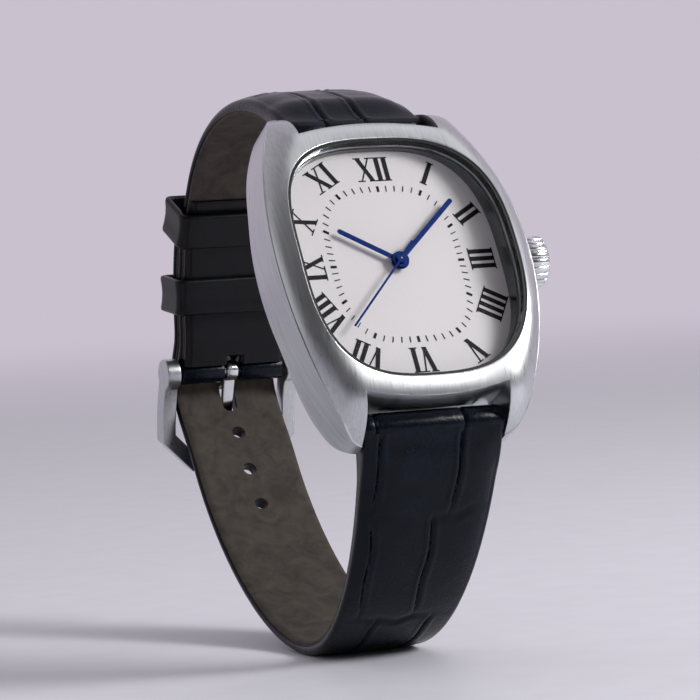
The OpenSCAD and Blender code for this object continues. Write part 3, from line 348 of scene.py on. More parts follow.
def caseRings():
    # Ring by ring from the opening's inner edge, over the dome and ridge, down the flank to the back
    a = np.linspace(0, 2 * np.pi, 720, endpoint=False)
    inner = cushionRadius(a, case["openingWidth"], case["openingHeight"], case["openingPower"])
    outer = caseRadius(a)
    v = outer * np.sin(a)
    ridge, under = ridgeHeight(v), underHeight(v)
    rings = []

    def ring(radius, height):
        rings.append(np.stack([radius * np.cos(a), radius * np.sin(a), height + 0 * a], -1))

    rounded, edge, lift = case["rimRound"], case["ridgeRound"], case["ridgeLift"]
    crest = ridge + edge * lift
    rim, ledge = archHeight(inner * np.sin(a), 0), inner - case["ledge"]
    ring(ledge, archHeight(ledge * np.sin(a), case["ledgeUnder"]))
    ring(ledge, archHeight(ledge * np.sin(a), case["ledgeTop"]))
    ring(inner, archHeight(inner * np.sin(a), case["ledgeTop"]))
    quarter = [k / 4 * math.pi / 2 for k in range(5)]
    for turn in quarter:
        ring(inner + rounded * (1 - math.cos(turn)), rim - rounded + rounded * math.sin(turn))
    # The bezel's slope is straighter at 3 and 9 o'clock than at 12 and 6
    start, stop = inner + rounded, outer - edge
    straight = case["straightSide"] + (case["straightEnd"] - case["straightSide"]) * np.sin(a) ** 2
    for share in np.linspace(0, 1, 26)[1:]:
        ring(start + (stop - start) * share,
             rim + (crest - rim) * (straight * share + (1 - straight) * share ** 3))
    for turn in quarter[1:]:
        ring(outer - edge + edge * math.sin(turn), crest - edge * (1 - math.cos(turn)))
    flank = ridge - edge * (1 - lift)
    for share in np.linspace(0, 1, 14)[1:]:
        ring(outer + 0 * a, flank + (under + case["underRound"] - flank) * share)
    ring(outer - case["underBreak"], under + case["underBreak"])
    ring(outer - case["underRound"], under + 0 * a)
    back = cushionRadius(a, backOutline["halfWidth"], backOutline["halfHeight"], backOutline["power"])
    ring(back, -case["depth"])
    cavity = inner + case["cavityGrow"]
    ring(cavity, -case["depth"])
    ring(cavity, archHeight(cavity * np.sin(a), case["ledgeUnder"]))
    return rings


def headPiece(name, points, faces, sharp=35):
    # A closed piece given in the head's own directions, with its faces turned outwards
    piece = meshPiece(name, toHead(points), faces, sharp)
    editMesh(piece.data, lambda bm: bmesh.ops.recalc_face_normals(bm, faces=bm.faces))
    return piece


def lugSpaceCutter(side):
    # The space for the strap: straight between the lugs, its inner end bowed with the bezel
    half, bow = lugs["gap"] / 2, lugs["notchBow"]
    centre = lugs["notch"] - math.sqrt(bow ** 2 - half ** 2)
    outline = [(u, centre + math.sqrt(bow ** 2 - u * u)) for u in np.linspace(-half, half, 41)]
    outline += [(half, cuts["outwards"]), (-half, cuts["outwards"])]
    points = [(u, side * v, n) for n in (cuts["below"], cuts["above"]) for u, v in outline]
    return headPiece(f"lugSpace{side}", points, gridFaces(2, len(outline)))


def barrelCutter(name, centre, radius, x0, x1, count=96):
    turns = np.linspace(0, 2 * np.pi, count, endpoint=False)
    ring = [(radius * math.cos(t), radius * math.sin(t)) for t in turns]
    points = [(x, centre[0] + p, centre[1] + q) for x in (x0, x1) for p, q in ring]
    return headPiece(name, points, gridFaces(2, count))


def cutAway(piece, tools):
    # Takes the tools' volumes out of a piece, and removes the tools
    for tool in tools:
        cut = piece.modifiers.new(tool.name, "BOOLEAN")
        cut.operation, cut.solver, cut.object = "DIFFERENCE", "EXACT", tool
    applyModifiers(piece)
    for tool in tools:
        bpy.data.objects.remove(tool)


def makeCase():
    rings = caseRings()
    faces = gridFaces(len(rings), len(rings[0]), closed=True)
    piece = headPiece("middleCase", np.concatenate(rings), faces, sharp=30)
    half = lugs["gap"] / 2
    deep = half + lugs["barHoleDepth"]
    tools = []
    for side in (-1, 1):
        bar = (side * lugs["barAt"], lugs["barHeight"])
        tools += [lugSpaceCutter(side), barrelCutter(f"rollSpace{side}", bar, lugs["rollSpace"], -half, half),
                  barrelCutter(f"barHole{side}", bar, lugs["barHole"], -deep, deep, count=32)]
    tools.append(barrelCutter("tubeHole", (0, cuts["tubeHeight"]), cuts["tubeRadius"], cuts["tubeFrom"],
                              cuts["tubeTo"], count=64))
    cutAway(piece, tools)
    weld = case["weld"] * mm
    editMesh(piece.data, lambda bm: bmesh.ops.remove_doubles(bm, verts=bm.verts, dist=weld))
    # Polished breaks along the edges that the milling of the lug spaces left
    breaks = piece.modifiers.new("breaks", "BEVEL")
    breaks.width, breaks.segments, breaks.limit_method = case["edgeBreak"] * mm, 2, "ANGLE"
    breaks.angle_limit, breaks.use_clamp_overlap = math.radians(case["breakAngle"]), True
    applyModifiers(piece)
    smoothOver(piece.data, sharp=25)
    dress(piece, "watch", brushedSteel, "case_body")


makeCase()
print("case made")


# Strap: one long path each side of the head, shared by leather and lining

strap = {"lugWidth": 19.9, "tailWidth": 16.0, "taper": 0.085, "lining": 0.7, "thickness": 1.9,
         "padEdge": 0.8, "padCrown": 0.9, "padLength": 34.0, "padRise": 6.0, "edgeCrown": 0.15,
         "rollRadius": 2.0, "rollRun": 8.0, "inner": 0.9, "tail": 24.5, "layerGap": 0.12, "bumpRun": 5.0,
         "tip": 7.0, "tipBlunt": 1.06, "tipPower": 2.4, "edgeRound": 0.75, "glueRise": 0.2, "glueIn": 0.15,
         "barBore": 0.9, "rimRound": 0.35, "rimBreak": 0.1, "spacing": 0.42}
buckle = {"bar": (41.8, 37.4), "roll": 1.7, "rollGap": 0.1, "slotHalf": 1.25, "slotReach": 4.0,
          "slotRise": 2.2}
flatOuter = strap["thickness"] - strap["inner"]


def headYz(v, n):
    return toHead([0, v, n])[1:]


def bezier(p0, p1, p2, p3, steps):
    t = (np.arange(steps) / steps)[:, None]
    return (1 - t) ** 3 * p0 + 3 * (1 - t) ** 2 * t * p1 + 3 * (1 - t) * t * t * p2 + t ** 3 * p3


def curvePath(stops):
    # Curves through all stops; each one leaves a stop along its heading and arrives along the next stop's
    parts = []
    for (p0, angle0, _, reach0, steps), (p1, angle1, reach1, _, _) in zip(stops, stops[1:]):
        ways = [np.array([math.cos(math.radians(t)), math.sin(math.radians(t))]) for t in (angle0, angle1)]
        start, stop = np.array(p0), np.array(p1)
        parts.append(bezier(start, start + reach0 * ways[0], stop - reach1 * ways[1], stop, steps))
    return np.concatenate(parts + [[stops[-1][0]]])


def tangentsOf(path):
    step = np.gradient(path, axis=0)
    return step / np.linalg.norm(step, axis=1)[:, None]


def lengthsOf(path):
    return np.concatenate([[0], np.cumsum(np.linalg.norm(np.diff(path, axis=0), axis=1))])


def leftOf(tangent):
    # Square to the path, on the left of one who goes along it
    return np.stack([-tangent[:, 1], tangent[:, 0]], -1)


upperBar, lowerBar = (headYz(side * lugs["barAt"], lugs["barHeight"]) for side in (1, -1))
buckleBar = np.array(buckle["bar"])
# Stops of the strap's route, front to back and up: the place, the heading in degrees, how far the bend
# reaches before and after the place, and the number of steps to the next stop
upperStops = [(upperBar, 24, 0, 6, 60), ((10.5, 74.5), 0, 7, 19, 140), ((40.1, 44.0), -90, 18, 2.2, 30),
              (buckleBar, -70, 2.2, 0, 0)]
lowerStops = [(lowerBar, -76, 0, 14, 110), ((0.3, 1.0), 0, 16, 14, 110), ((37.6, 24.2), 58.7, 14, 5, 60)]
upperPath = curvePath(upperStops)
upperTangent, upperLength = tangentsOf(upperPath), lengthsOf(upperPath)
upperEnd = upperLength[-1]


def upperOuter(s):
    bump = buckle["roll"] + buckle["rollGap"] - flatOuter - strap["edgeCrown"]
    return flatOuter + strap["edgeCrown"] + bump * easeOff((upperEnd - s) / strap["bumpRun"])


# The tail lies on the upper strap, one layer further out, and runs back along it
isTail = upperEnd - upperLength <= strap["tail"]
lift = upperOuter(upperLength) + strap["layerGap"] + strap["inner"]
tailPath = (upperPath + lift[:, None] * leftOf(upperTangent))[isTail][::-1]
tailRun = tailPath[8] - tailPath[0]
tailHeading = math.degrees(math.atan2(tailRun[1], tailRun[0]))
lowerStops.append((tailPath[0], tailHeading, 5, 0, 0))
lowerPath = np.concatenate([curvePath(lowerStops), tailPath[1:]])
lowerLength = lengthsOf(lowerPath)
lowerEnd = lowerLength[-1]


def resample(path, lengths, spacing, passes=6):
    # Even steps along the path, lightly smoothed so that the joins between curves don't show
    count = int(lengths[-1] / spacing)
    s = np.linspace(0, lengths[-1], count)
    points = np.stack([np.interp(s, lengths, path[:, k]) for k in (0, 1)], -1)
    for _ in range(passes):
        points[1:-1] = (points[:-2] + 2 * points[1:-1] + points[2:]) / 4
    return s, points, tangentsOf(points)


def strapWidth(s):
    return np.maximum(strap["tailWidth"], strap["lugWidth"] - strap["taper"] * s)


def innerOffset(s):
    return strap["inner"] + (strap["rollRadius"] - strap["inner"]) * easeOff(s / strap["rollRun"])


def padShare(s):
    # The padding under the leather rises over its first few millimetres and thins out along the strap
    return easeOff(s / strap["padLength"]) * (1 - easeOff(s / strap["padRise"]))


def edgeOffset(s):
    roll = (strap["rollRadius"] - flatOuter) * easeOff(s / strap["rollRun"])
    return flatOuter + roll + strap["padEdge"] * padShare(s)


def crownOffset(s):
    return strap["padCrown"] * padShare(s) + strap["edgeCrown"] * (1 - easeOff(s / strap["rollRun"]))


def lowerWidth(s):
    # The tail's end narrows to a blunt tip, a fifth as wide at the very end
    over = np.clip((s - lowerEnd + strap["tip"]) / (strap["tip"] * strap["tipBlunt"]), 0, 1)
    return strapWidth(s) * np.sqrt(np.maximum(0.04, 1 - over ** strap["tipPower"]))


# Embossed plates: rows end at these lengths in mm, and each row is split at these shares of the half width
lowerPlates = {"rows": [11.5, 29.0, 43.5, 56.5, 68, 79, 90, 101, 112, 122],
               "splits": [(-0.88, 0.38), (-0.84, 0.14), (-0.45, 0.55), (-0.6, 0.15), (-0.3, 0.5)]}
upperPlates = {"rows": [13.5, 26, 37, 48, 59, 70],
               "splits": [(-0.46, 0.12), (-0.6, 0.3), (-0.3, 0.62), (-0.62, 0.2), (-0.35, 0.45)]}
groove = {"depth": 0.32, "halfWidth": 0.2, "lip": 0.07, "lipAt": 0.75, "lipWidth": 0.35, "crossDepth": 0.2,
          "crossHalfWidth": 0.55, "crossLip": 0.09, "crossLipAt": 1.1, "crossLipWidth": 0.7, "drift": 0.12,
          "wobble": 0.18, "wander": 0.5, "patchy": 0.45, "fadeIn": 10, "fadeOut": 4, "swell": 0.084,
          "swellPower": 0.7, "lastRow": 14.0, "flatEdge": 0.1}


def dip(distance, halfWidth):
    return np.exp(-(distance / halfWidth) ** 2)


def plateRelief(s, share, plates, width):
    # Height of the embossing at each point: grooves cut down, with a low lip beside them, and each plate
    # swells a little. Rows wander, and their grooves are deeper in some places than in others. Splits fade
    # in and out with their row, except at the lugs, where they run on round the roll
    x = share * width / 2
    edges = np.array([0.0] + plates["rows"] + [plates["rows"][-1] + groove["lastRow"]])
    row = np.clip(np.searchsorted(edges, s, side="right") - 1, 0, len(edges) - 2)
    relief = np.zeros_like(x)
    wave = groove["wander"] * (np.sin(x * 0.55 + s * 0.07) + 0.5 * np.sin(x * 1.3 + 1.7))
    for k, edge in enumerate(plates["rows"]):
        distance = s - edge - wave
        strong = 1 - groove["patchy"] + groove["patchy"] * np.sin(x * 0.4 + k * 2.1)
        relief -= groove["crossDepth"] * strong * dip(distance, groove["crossHalfWidth"])
        relief += groove["crossLip"] * strong * dip(distance - groove["crossLipAt"], groove["crossLipWidth"])
    for k in range(len(edges) - 1):
        here = row == k
        middle = (s - edges[k]) / (edges[k + 1] - edges[k])
        fade = np.clip(groove["fadeOut"] * (1 - middle), 0, 1)
        if k:
            fade = np.clip(groove["fadeIn"] * middle, 0, 1) * fade
        for share0 in plates["splits"][k % len(plates["splits"])]:
            line = share0 + groove["drift"] * (middle - 0.5) * (1 if k % 2 else -1)
            distance = (share - line) * width / 2 + groove["wobble"] * np.sin(s * 0.6 + k)
            relief -= here * groove["depth"] * fade * dip(distance, groove["halfWidth"])
            lip = dip(np.abs(distance) - groove["lipAt"], groove["lipWidth"])
            relief += here * groove["lip"] * fade * lip
        swell = np.sin(np.pi * np.clip(middle, 0, 1)) ** groove["swellPower"]
        relief += here * groove["swell"] * swell * (1 - share ** 2)
    return relief * np.clip((1 - np.abs(share)) / groove["flatEdge"], 0, 1)


def leatherBand(s, path, tangent, side, width, edge, crown, glue, plates):
    # A closed skin: a cambered, embossed top, rounded painted edges and a flat glued face
    normal = side * leftOf(tangent)
    # Points across lie close together, so that the grooves are carved into the mesh
    share = np.concatenate([[-1.0], np.linspace(-0.985, 0.985, 146), [1.0]])
    r = strap["edgeRound"]
    rings = []
    for i in range(len(s)):
        w = width[i]
        inside = share * (1 - 2 * r / w)
        relief = plateRelief(np.full_like(share, s[i]), share, plates, w)
        top = edge[i] + crown[i] * (1 - np.abs(share) ** 6) + relief
        xs, hs = list(inside * w / 2), list(top)
        wall = [(w / 2 - r + r * math.sin(t), edge[i] - r + r * math.cos(t))
                for t in (0.35, 0.7, 1.05, 1.35, math.pi / 2)]
        wall += [(w / 2, glue[i] + strap["glueRise"]), (w / 2 - strap["glueIn"], glue[i])]
        xs += [p[0] for p in wall] + [-p[0] for p in reversed(wall)]
        hs += [p[1] for p in wall] + [p[1] for p in reversed(wall)]
        point = path[i] + np.array(hs)[:, None] * normal[i]
        # Nothing sinks below the face that the loop stands on
        rings.append(np.column_stack([xs, point[:, 0], np.maximum(point[:, 1], 0)]))
    return rings


def rolledEnd(centre, radius, x0, x1, splits=()):
    # The strap's end turned over its spring bar: a tube with soft rims, and the first row's splits round it
    bore, soft, fine = strap["barBore"], strap["rimRound"], strap["rimBreak"]
    profile = [(bore, x0 + fine), (bore, x1 - fine), (radius - soft, x1), (radius - fine, x1 - fine),
               (radius, x1 - soft)]
    for share in sorted(splits, reverse=True):
        line = (share + groove["drift"] / 2) * x1
        profile += [(radius - groove["depth"] * dip(across, groove["halfWidth"]), line + across)
                    for across in (0.45, 0.3, 0.2, 0.1, 0, -0.1, -0.2, -0.3, -0.45)]
    profile += [(radius, x0 + soft), (radius - fine, x0 + fine), (radius - soft, x0)]
    count = 72
    points = []
    for t in np.linspace(0, 2 * np.pi, count, endpoint=False):
        points += [(x, centre[0] + r * math.cos(t), centre[1] + r * math.sin(t)) for r, x in profile]
    return points, gridFaces(count, len(profile), closed=True)


def fixNormals(piece, sharp=40):
    # End caps become triangles, and all faces turn outwards
    def turnOutwards(bm):
        bmesh.ops.triangulate(bm, faces=[f for f in bm.faces if len(f.verts) > 4])
        bmesh.ops.recalc_face_normals(bm, faces=bm.faces)

    editMesh(piece.data, turnOutwards)
    smoothOver(piece.data, sharp)


# Holes: how many spacings each one lies towards the lugs from the one in use, which comes first
holes = {"radius": 1.0, "drawn": 1.3, "widened": 1.15, "spacing": 6.3, "order": [0, -3, -2, -1, 1, 2, 3],
         "punchReach": 4.0}
# The tang's blade, in directions turned by its tilt round the buckle bar: a point on it, and its lean
tang = {"tilt": 10.0, "root": (-0.1, -1.0), "lean": -0.2085, "halfThickness": 0.45}


def punch(piece, places):
    # Punched holes: round ones, and the one in use drawn long by the tang
    radius, reach = holes["radius"], holes["punchReach"]
    tools = []
    for k, (centre, heading) in enumerate(places):
        drawn, widened = (holes["drawn"], holes["widened"]) if k == 0 else (0, 1)
        # Turned a hair, so that no corner of the punch lies on an edge of the band
        turns = np.linspace(0, 2 * np.pi, 40, endpoint=False) + 0.01
        outline = [(radius * math.cos(t) * widened,
                    radius * math.sin(t) + (drawn if math.sin(t) > 0 else -drawn)) for t in turns]
        normal = np.array([-heading[1], heading[0]])
        points = [(x, *(centre + q * heading + h * normal)) for h in (-reach, reach) for x, q in outline]
        tools.append(meshPiece(f"punch{k}", points, gridFaces(2, len(outline))))
        fixNormals(tools[-1])
    cutAway(piece, tools)


def boxCutter(name, low, high):
    points = [(x, y, z) for x in (low[0], high[0]) for y in (low[1], high[1]) for z in (low[2], high[2])]
    faces = [(0, 1, 3, 2), (4, 6, 7, 5), (0, 4, 5, 1), (2, 3, 7, 6), (0, 2, 6, 4), (1, 5, 7, 3)]
    tool = meshPiece(name, points, faces)
    fixNormals(tool)
    return tool


def cutSlot(piece):
    # The slot at the buckle bar through which the tang's ring turns
    y, z = buckleBar
    half, reach = buckle["slotHalf"], buckle["slotReach"]
    low, high = (-half, y - reach, z - reach), (half, y + reach, z + buckle["slotRise"])
    cutAway(piece, [boxCutter("tangSlot", low, high)])


def pathPoint(lengths, path, s):
    return np.array([np.interp(s, lengths, path[:, k]) for k in (0, 1)])


def pathHeading(lengths, path, s, reach):
    ahead = pathPoint(lengths, path, s + reach) - pathPoint(lengths, path, s - reach)
    return ahead / np.linalg.norm(ahead)


def holePlaces():
    # The hole in use is where the tang's blade crosses the strap; the rest are spaced from it
    tilt, root = math.radians(tang["tilt"]), tang["root"]
    offset = lowerPath - buckleBar
    q = offset[:, 0] * math.cos(tilt) + offset[:, 1] * math.sin(tilt)
    h = offset[:, 1] * math.cos(tilt) - offset[:, 0] * math.sin(tilt)
    beyond = q - (root[0] + tang["lean"] * (h - root[1])) - tang["halfThickness"]
    inRange = lowerLength > lowerEnd / 2
    first = np.where(inRange & (beyond > 0))[0][0]
    used = lowerLength[first]
    places = []
    for k in holes["order"]:
        s = used - k * holes["spacing"]
        places.append((pathPoint(lowerLength, lowerPath, s), pathHeading(lowerLength, lowerPath, s, 0.5)))
    return places


def makeBand(name, path, lengths, side, widthOf, plates, coversBar):
    # One strap piece's outer leather; the upper one rises over the buckle's bar
    s, points, tangent = resample(path, lengths, strap["spacing"])
    edge, crown = edgeOffset(s), crownOffset(s)
    if coversBar:
        edge = np.maximum(edge, upperOuter(s) - strap["edgeCrown"])
    glue = strap["lining"] - innerOffset(s)
    rings = leatherBand(s, points, tangent, side, widthOf(s), edge, crown, glue, plates)
    piece = meshPiece(name, np.concatenate(rings), gridFaces(len(rings), len(rings[0])))
    fixNormals(piece)
    return piece


def addRolls(piece, rolls):
    # The rolled ends are shells of their own that run into the band
    def addShells(bm):
        for points, faces in rolls:
            corners = [bm.verts.new(Vector(p) * mm) for p in points]
            for face in faces:
                bm.faces.new([corners[i] for i in face])

    editMesh(piece.data, addShells)
    fixNormals(piece)


lining = {"spacing": 0.6, "start": 2.6, "upperShort": 1.9, "lowerShort": 0.2, "narrower": 0.5, "ripple": 0.05,
          "fineRipple": 0.04, "edgeFrom": 0.94, "edgeRun": 0.06, "edgeDrop": 0.25, "glueLine": 0.01}


def sheetRing(xs, face, back, point, normal):
    # A thin sheet's cross-section: over its free face, and back over its glued one
    where = point + np.concatenate([face, back[::-1]])[:, None] * normal
    return np.column_stack([np.concatenate([xs, xs[::-1]]), where])


def makeLining(name, path, lengths, side, widthOf, end):
    # The wrist side: a sheet whose face ripples a little where the strap bends
    s, points, tangent = resample(path, lengths, lining["spacing"])
    normal = side * leftOf(tangent)
    share = np.linspace(-1, 1, 41)
    rings = []
    for i in np.where((s > lining["start"]) & (s < end))[0]:
        xs = share * (widthOf(s[i:i + 1])[0] - lining["narrower"]) / 2
        base = -innerOffset(s[i:i + 1])[0]
        ripple = lining["ripple"] * np.sin(s[i] * 1.9 + 1.3 * np.sin(xs * 0.4))
        ripple += lining["fineRipple"] * np.sin(s[i] * 4.3 + xs * 0.7)
        edge = np.maximum(0, np.abs(share) - lining["edgeFrom"]) / lining["edgeRun"]
        back = np.full_like(xs, strap["lining"] + base - lining["glueLine"])
        face = base + np.abs(ripple) * (1 - np.abs(share) ** 4) + lining["edgeDrop"] * edge
        rings.append(sheetRing(xs, face, back, points[i], normal[i]))
    piece = meshPiece(name, np.concatenate(rings), gridFaces(len(rings), len(rings[0])))
    fixNormals(piece)
    return piece


foldback = {"length": 27.0, "thickness": 0.8, "narrower": 0.6, "spacing": 0.5, "endShort": 1.2,
            "growRun": 1.2, "startShare": 0.15, "edgeFrom": 0.93, "edgeRun": 0.07, "edgeThin": 0.55}


def makeFoldback():
    # The outer leather goes round the buckle bar and comes back over the lining, thin at its end and edges
    s, points, tangent = resample(upperPath, upperLength, foldback["spacing"])
    normal = leftOf(tangent)
    share = np.linspace(-1, 1, 31)
    xs = share * (strap["tailWidth"] - foldback["narrower"]) / 2
    edge = np.maximum(0, np.abs(share) - foldback["edgeFrom"]) / foldback["edgeRun"]
    rings = []
    first = upperEnd - foldback["length"]
    for i in np.where((s > first) & (s < upperEnd - foldback["endShort"]))[0]:
        grow = min(1.0, ((s[i] - first) / foldback["growRun"]) ** 0.5 + foldback["startShare"])
        base = -innerOffset(s[i:i + 1])[0]
        face = base - foldback["thickness"] * grow * (1 - edge * foldback["edgeThin"])
        rings.append(sheetRing(xs, face, np.full_like(xs, base), points[i], normal[i]))
    piece = meshPiece("foldedBackLeather", np.concatenate(rings), gridFaces(len(rings), len(rings[0])))
    fixNormals(piece)
    cutSlot(piece)
    dress(piece, "watch", smoothLeather, "strap_foldback")


def makeLeathers():
    # The cuts come before the rolled ends, which are shells of their own
    lugHalf, barHalf, slotHalf = strap["lugWidth"] / 2, strap["tailWidth"] / 2, buckle["slotHalf"]
    upper = makeBand("upperStrap", upperPath, upperLength, 1, strapWidth, upperPlates, coversBar=True)
    cutSlot(upper)
    addRolls(upper, [rolledEnd(upperBar, strap["rollRadius"], -lugHalf, lugHalf, upperPlates["splits"][0]),
                     rolledEnd(buckleBar, buckle["roll"], -barHalf, -slotHalf),
                     rolledEnd(buckleBar, buckle["roll"], slotHalf, barHalf)])
    dress(upper, "watch", blackLeather, "strap_upper")
    lower = makeBand("lowerStrap", lowerPath, lowerLength, -1, lowerWidth, lowerPlates, coversBar=False)
    punch(lower, holePlaces())
    addRolls(lower, [rolledEnd(lowerBar, strap["rollRadius"], -lugHalf, lugHalf, lowerPlates["splits"][0])])
    dress(lower, "watch", blackLeather, "strap_lower")


def makeLinings():
    upper = makeLining("upperLining", upperPath, upperLength, 1, strapWidth, upperEnd - lining["upperShort"])
    cutSlot(upper)
    dress(upper, "watch", liningLeather, "strap_upper_lining")
    lower = makeLining("lowerLining", lowerPath, lowerLength, -1, lowerWidth, lowerEnd - lining["lowerShort"])
    punch(lower, holePlaces())
    smoothOver(lower.data, sharp=40)
    dress(lower, "watch", liningLeather, "strap_lower_lining")


makeLeathers()
makeLinings()
makeFoldback()
print("strap made")


# Keepers: two bands of smooth leather, a little waisted, with painted edges

keeper = {"width": 5.2, "thickness": 1.1, "halfIn": 8.3, "low": 2.0, "slack": 0.9, "corner": 1.4,
          "innerCorner": 0.5, "fixedAt": 11.6, "freeAt": 22.2, "waist": 0.5, "flatSteps": 12, "flatFrom": 2.0}
keeperHigh = (upperOuter(0) + strap["layerGap"] + strap["thickness"] + strap["edgeCrown"]
              + keeper["slack"])


def keeperOutline(halfWidth, low, high, corner):
    # A rectangle with round corners, its flat sides cut into short steps for the waist
    right, top, bottom = halfWidth - corner, high - corner, -low + corner
    points = []
    for cx, cy, start in ((right, top, 0), (-right, top, 90), (-right, bottom, 180), (right, bottom, 270)):
        for t in np.linspace(start, start + 90, 9):
            points.append((cx + corner * math.cos(math.radians(t)), cy + corner * math.sin(math.radians(t))))
    full = []
    for i, p in enumerate(points):
        q = points[(i + 1) % len(points)]
        isFlat = math.dist(p, q) > keeper["flatFrom"]
        steps = keeper["flatSteps"] if isFlat else 1
        full += [(p[0] + (q[0] - p[0]) * k / steps, p[1] + (q[1] - p[1]) * k / steps) for k in range(steps)]
    return full


def makeKeeper(name, fromBar, body, node):
    s = upperEnd - fromBar
    middle, ahead = pathPoint(upperLength, upperPath, s), pathHeading(upperLength, upperPath, s, 0.3)
    outward = np.array([-ahead[1], ahead[0]])
    half, t = keeper["width"] / 2, keeper["thickness"]
    inner = keeperOutline(keeper["halfIn"], keeper["low"], keeperHigh, keeper["innerCorner"])
    outer = keeperOutline(keeper["halfIn"] + t, keeper["low"] + t, keeperHigh + t, keeper["corner"])
    # Across the band's wall, from its inner face at 0 to its outer one at 1: a rounded strip, thinner and
    # drawn in at the waist
    rising = [(0.0, half * 0.4), (0.06, half - 0.3), (0.25, half - 0.02), (0.6, half), (0.9, half - 0.14),
              (1.0, half - 0.5), (0.97, half * 0.45)]
    falling = [(share, -q) for share, q in reversed(rising)]
    section = falling[-2:] + rising + [(0.95, 0.0)] + falling[:-2]
    points = []
    for (a, b), (c, d) in zip(inner, outer):
        for share, q in section:
            draw = keeper["waist"] * math.cos(min(1.0, abs(q) / half) * math.pi / 2) * share
            size = math.hypot(c - a, d - b)
            x = a + (c - a) * (share - draw / size * 0.5)
            h = b + (d - b) * (share - draw / size * 0.5)
            y, z = middle + h * outward + q * ahead
            points.append((x, y, z))
    piece = meshPiece(name, points, gridFaces(len(inner), len(section), closed=True))
    fixNormals(piece, sharp=60)
    dress(piece, body, smoothLeather, node)


makeKeeper("fixedKeeper", keeper["fixedAt"], "watch", "fixed_keeper")
makeKeeper("freeKeeper", keeper["freeAt"], "keeper", "free_keeper")
print("keepers made")


# Crown: a turned core, with its ribs placed round it by Geometry Nodes

crown = {"radius": 3.4, "ribs": 20, "ribHeight": 0.28, "ribHalfWidth": 0.41, "ribEase": 0.12, "ribSunk": 0.5,
         "endRound": 0.3, "start": 18.4, "length": 3.2, "depth": 1.9, "stemRadius": 0.5, "stemSocket": 0.9,
         "wellRadius": 1.45, "wellDepth": 1.2, "pole": 0.02}


def crownCore():
    # Turned in one: a knob with a rounded end, hollow towards the case, with a socket for the stem
    r, x0, x1 = crown["radius"] - crown["ribHeight"], crown["start"], crown["start"] + crown["length"]
    well, stem, pole = crown["wellRadius"], crown["stemRadius"], crown["pole"]
    wellFloor = x0 + crown["wellDepth"]
    profile = [(well, x0), (r - 0.2, x0), (r - 0.05, x0 + 0.05), (r, x0 + 0.2), (r, x1 - 0.4),
               (r - 0.08, x1 - 0.22), (r - 0.25, x1 - 0.1), (r - 0.6, x1 - 0.03), (r - 1.2, x1), (pole, x1)]
    socket = wellFloor + crown["stemSocket"]
    profile += [(pole, socket), (stem, socket), (stem, wellFloor), (well, wellFloor)]
    count = 120
    points = []
    for t in np.linspace(0, 2 * np.pi, count, endpoint=False):
        points += [(x, r * math.cos(t), r * math.sin(t)) for r, x in profile]
    return points, gridFaces(count, len(profile), closed=True)


def ribShape():
    # One rib: a broad land with rounded shoulders, its ends eased, sunk a little into the core
    r, half, ease = crown["radius"], crown["ribHalfWidth"], crown["ribEase"]
    x0, x1 = crown["start"], crown["start"] + crown["length"] - crown["endRound"]
    root = r - crown["ribSunk"]
    shoulder = [(half, root), (half, r - 0.22), (half * 0.88, r - 0.07), (half * 0.6, r - 0.01)]
    across = [(-q, p) for q, p in shoulder] + [(0.0, r)] + shoulder[::-1]
    points = []
    for x, drop in ((x0, ease), (x0 + ease, 0.0), (x1 - ease, 0.0), (x1, ease), (x1 + 0.01, 0.4)):
        points += [(x, max(p - drop, root), q) for q, p in across]
    return points, gridFaces(5, len(across))


def ribTree(ribObject, material):
    tree = bpy.data.node_groups.new("crownRibs", "GeometryNodeTree")
    tree.interface.new_socket("Geometry", in_out="INPUT", socket_type="NodeSocketGeometry")
    countIn = tree.interface.new_socket("Rib count", in_out="INPUT", socket_type="NodeSocketInt")
    tree.interface.new_socket("Geometry", in_out="OUTPUT", socket_type="NodeSocketGeometry")
    given = addNode(tree, "NodeGroupInput")
    result = addNode(tree, "NodeGroupOutput")
    ribs = addNode(tree, "GeometryNodeObjectInfo")
    ribs.inputs["Object"].default_value = ribObject
    places = addNode(tree, "GeometryNodeMeshLine", {"Count": given.outputs["Rib count"]})
    places.inputs["Offset"].default_value = (0, 0, 0)
    index = addNode(tree, "GeometryNodeInputIndex")
    turn = addNode(tree, "ShaderNodeMath", {0: index.outputs["Index"], 1: given.outputs["Rib count"]},
                   operation="DIVIDE")
    angle = addNode(tree, "ShaderNodeMath", {0: turn.outputs["Value"]}, operation="MULTIPLY")
    angle.inputs[1].default_value = 2 * math.pi
    spin = addNode(tree, "ShaderNodeCombineXYZ", {"X": angle.outputs["Value"]})
    instances = addNode(tree, "GeometryNodeInstanceOnPoints",
                        {"Points": places.outputs["Mesh"], "Instance": ribs.outputs["Geometry"],
                         "Rotation": spin.outputs["Vector"]})
    joined = addNode(tree, "GeometryNodeJoinGeometry")
    tree.links.new(instances.outputs["Instances"], joined.inputs["Geometry"])
    tree.links.new(given.outputs["Geometry"], joined.inputs["Geometry"])
    real = addNode(tree, "GeometryNodeRealizeInstances", {"Geometry": joined.outputs["Geometry"]})
    dressed = addNode(tree, "GeometryNodeSetMaterial", {"Geometry": real.outputs["Geometry"]})
    dressed.inputs["Material"].default_value = material
    tree.links.new(dressed.outputs["Geometry"], result.inputs["Geometry"])
    return tree, countIn.identifier


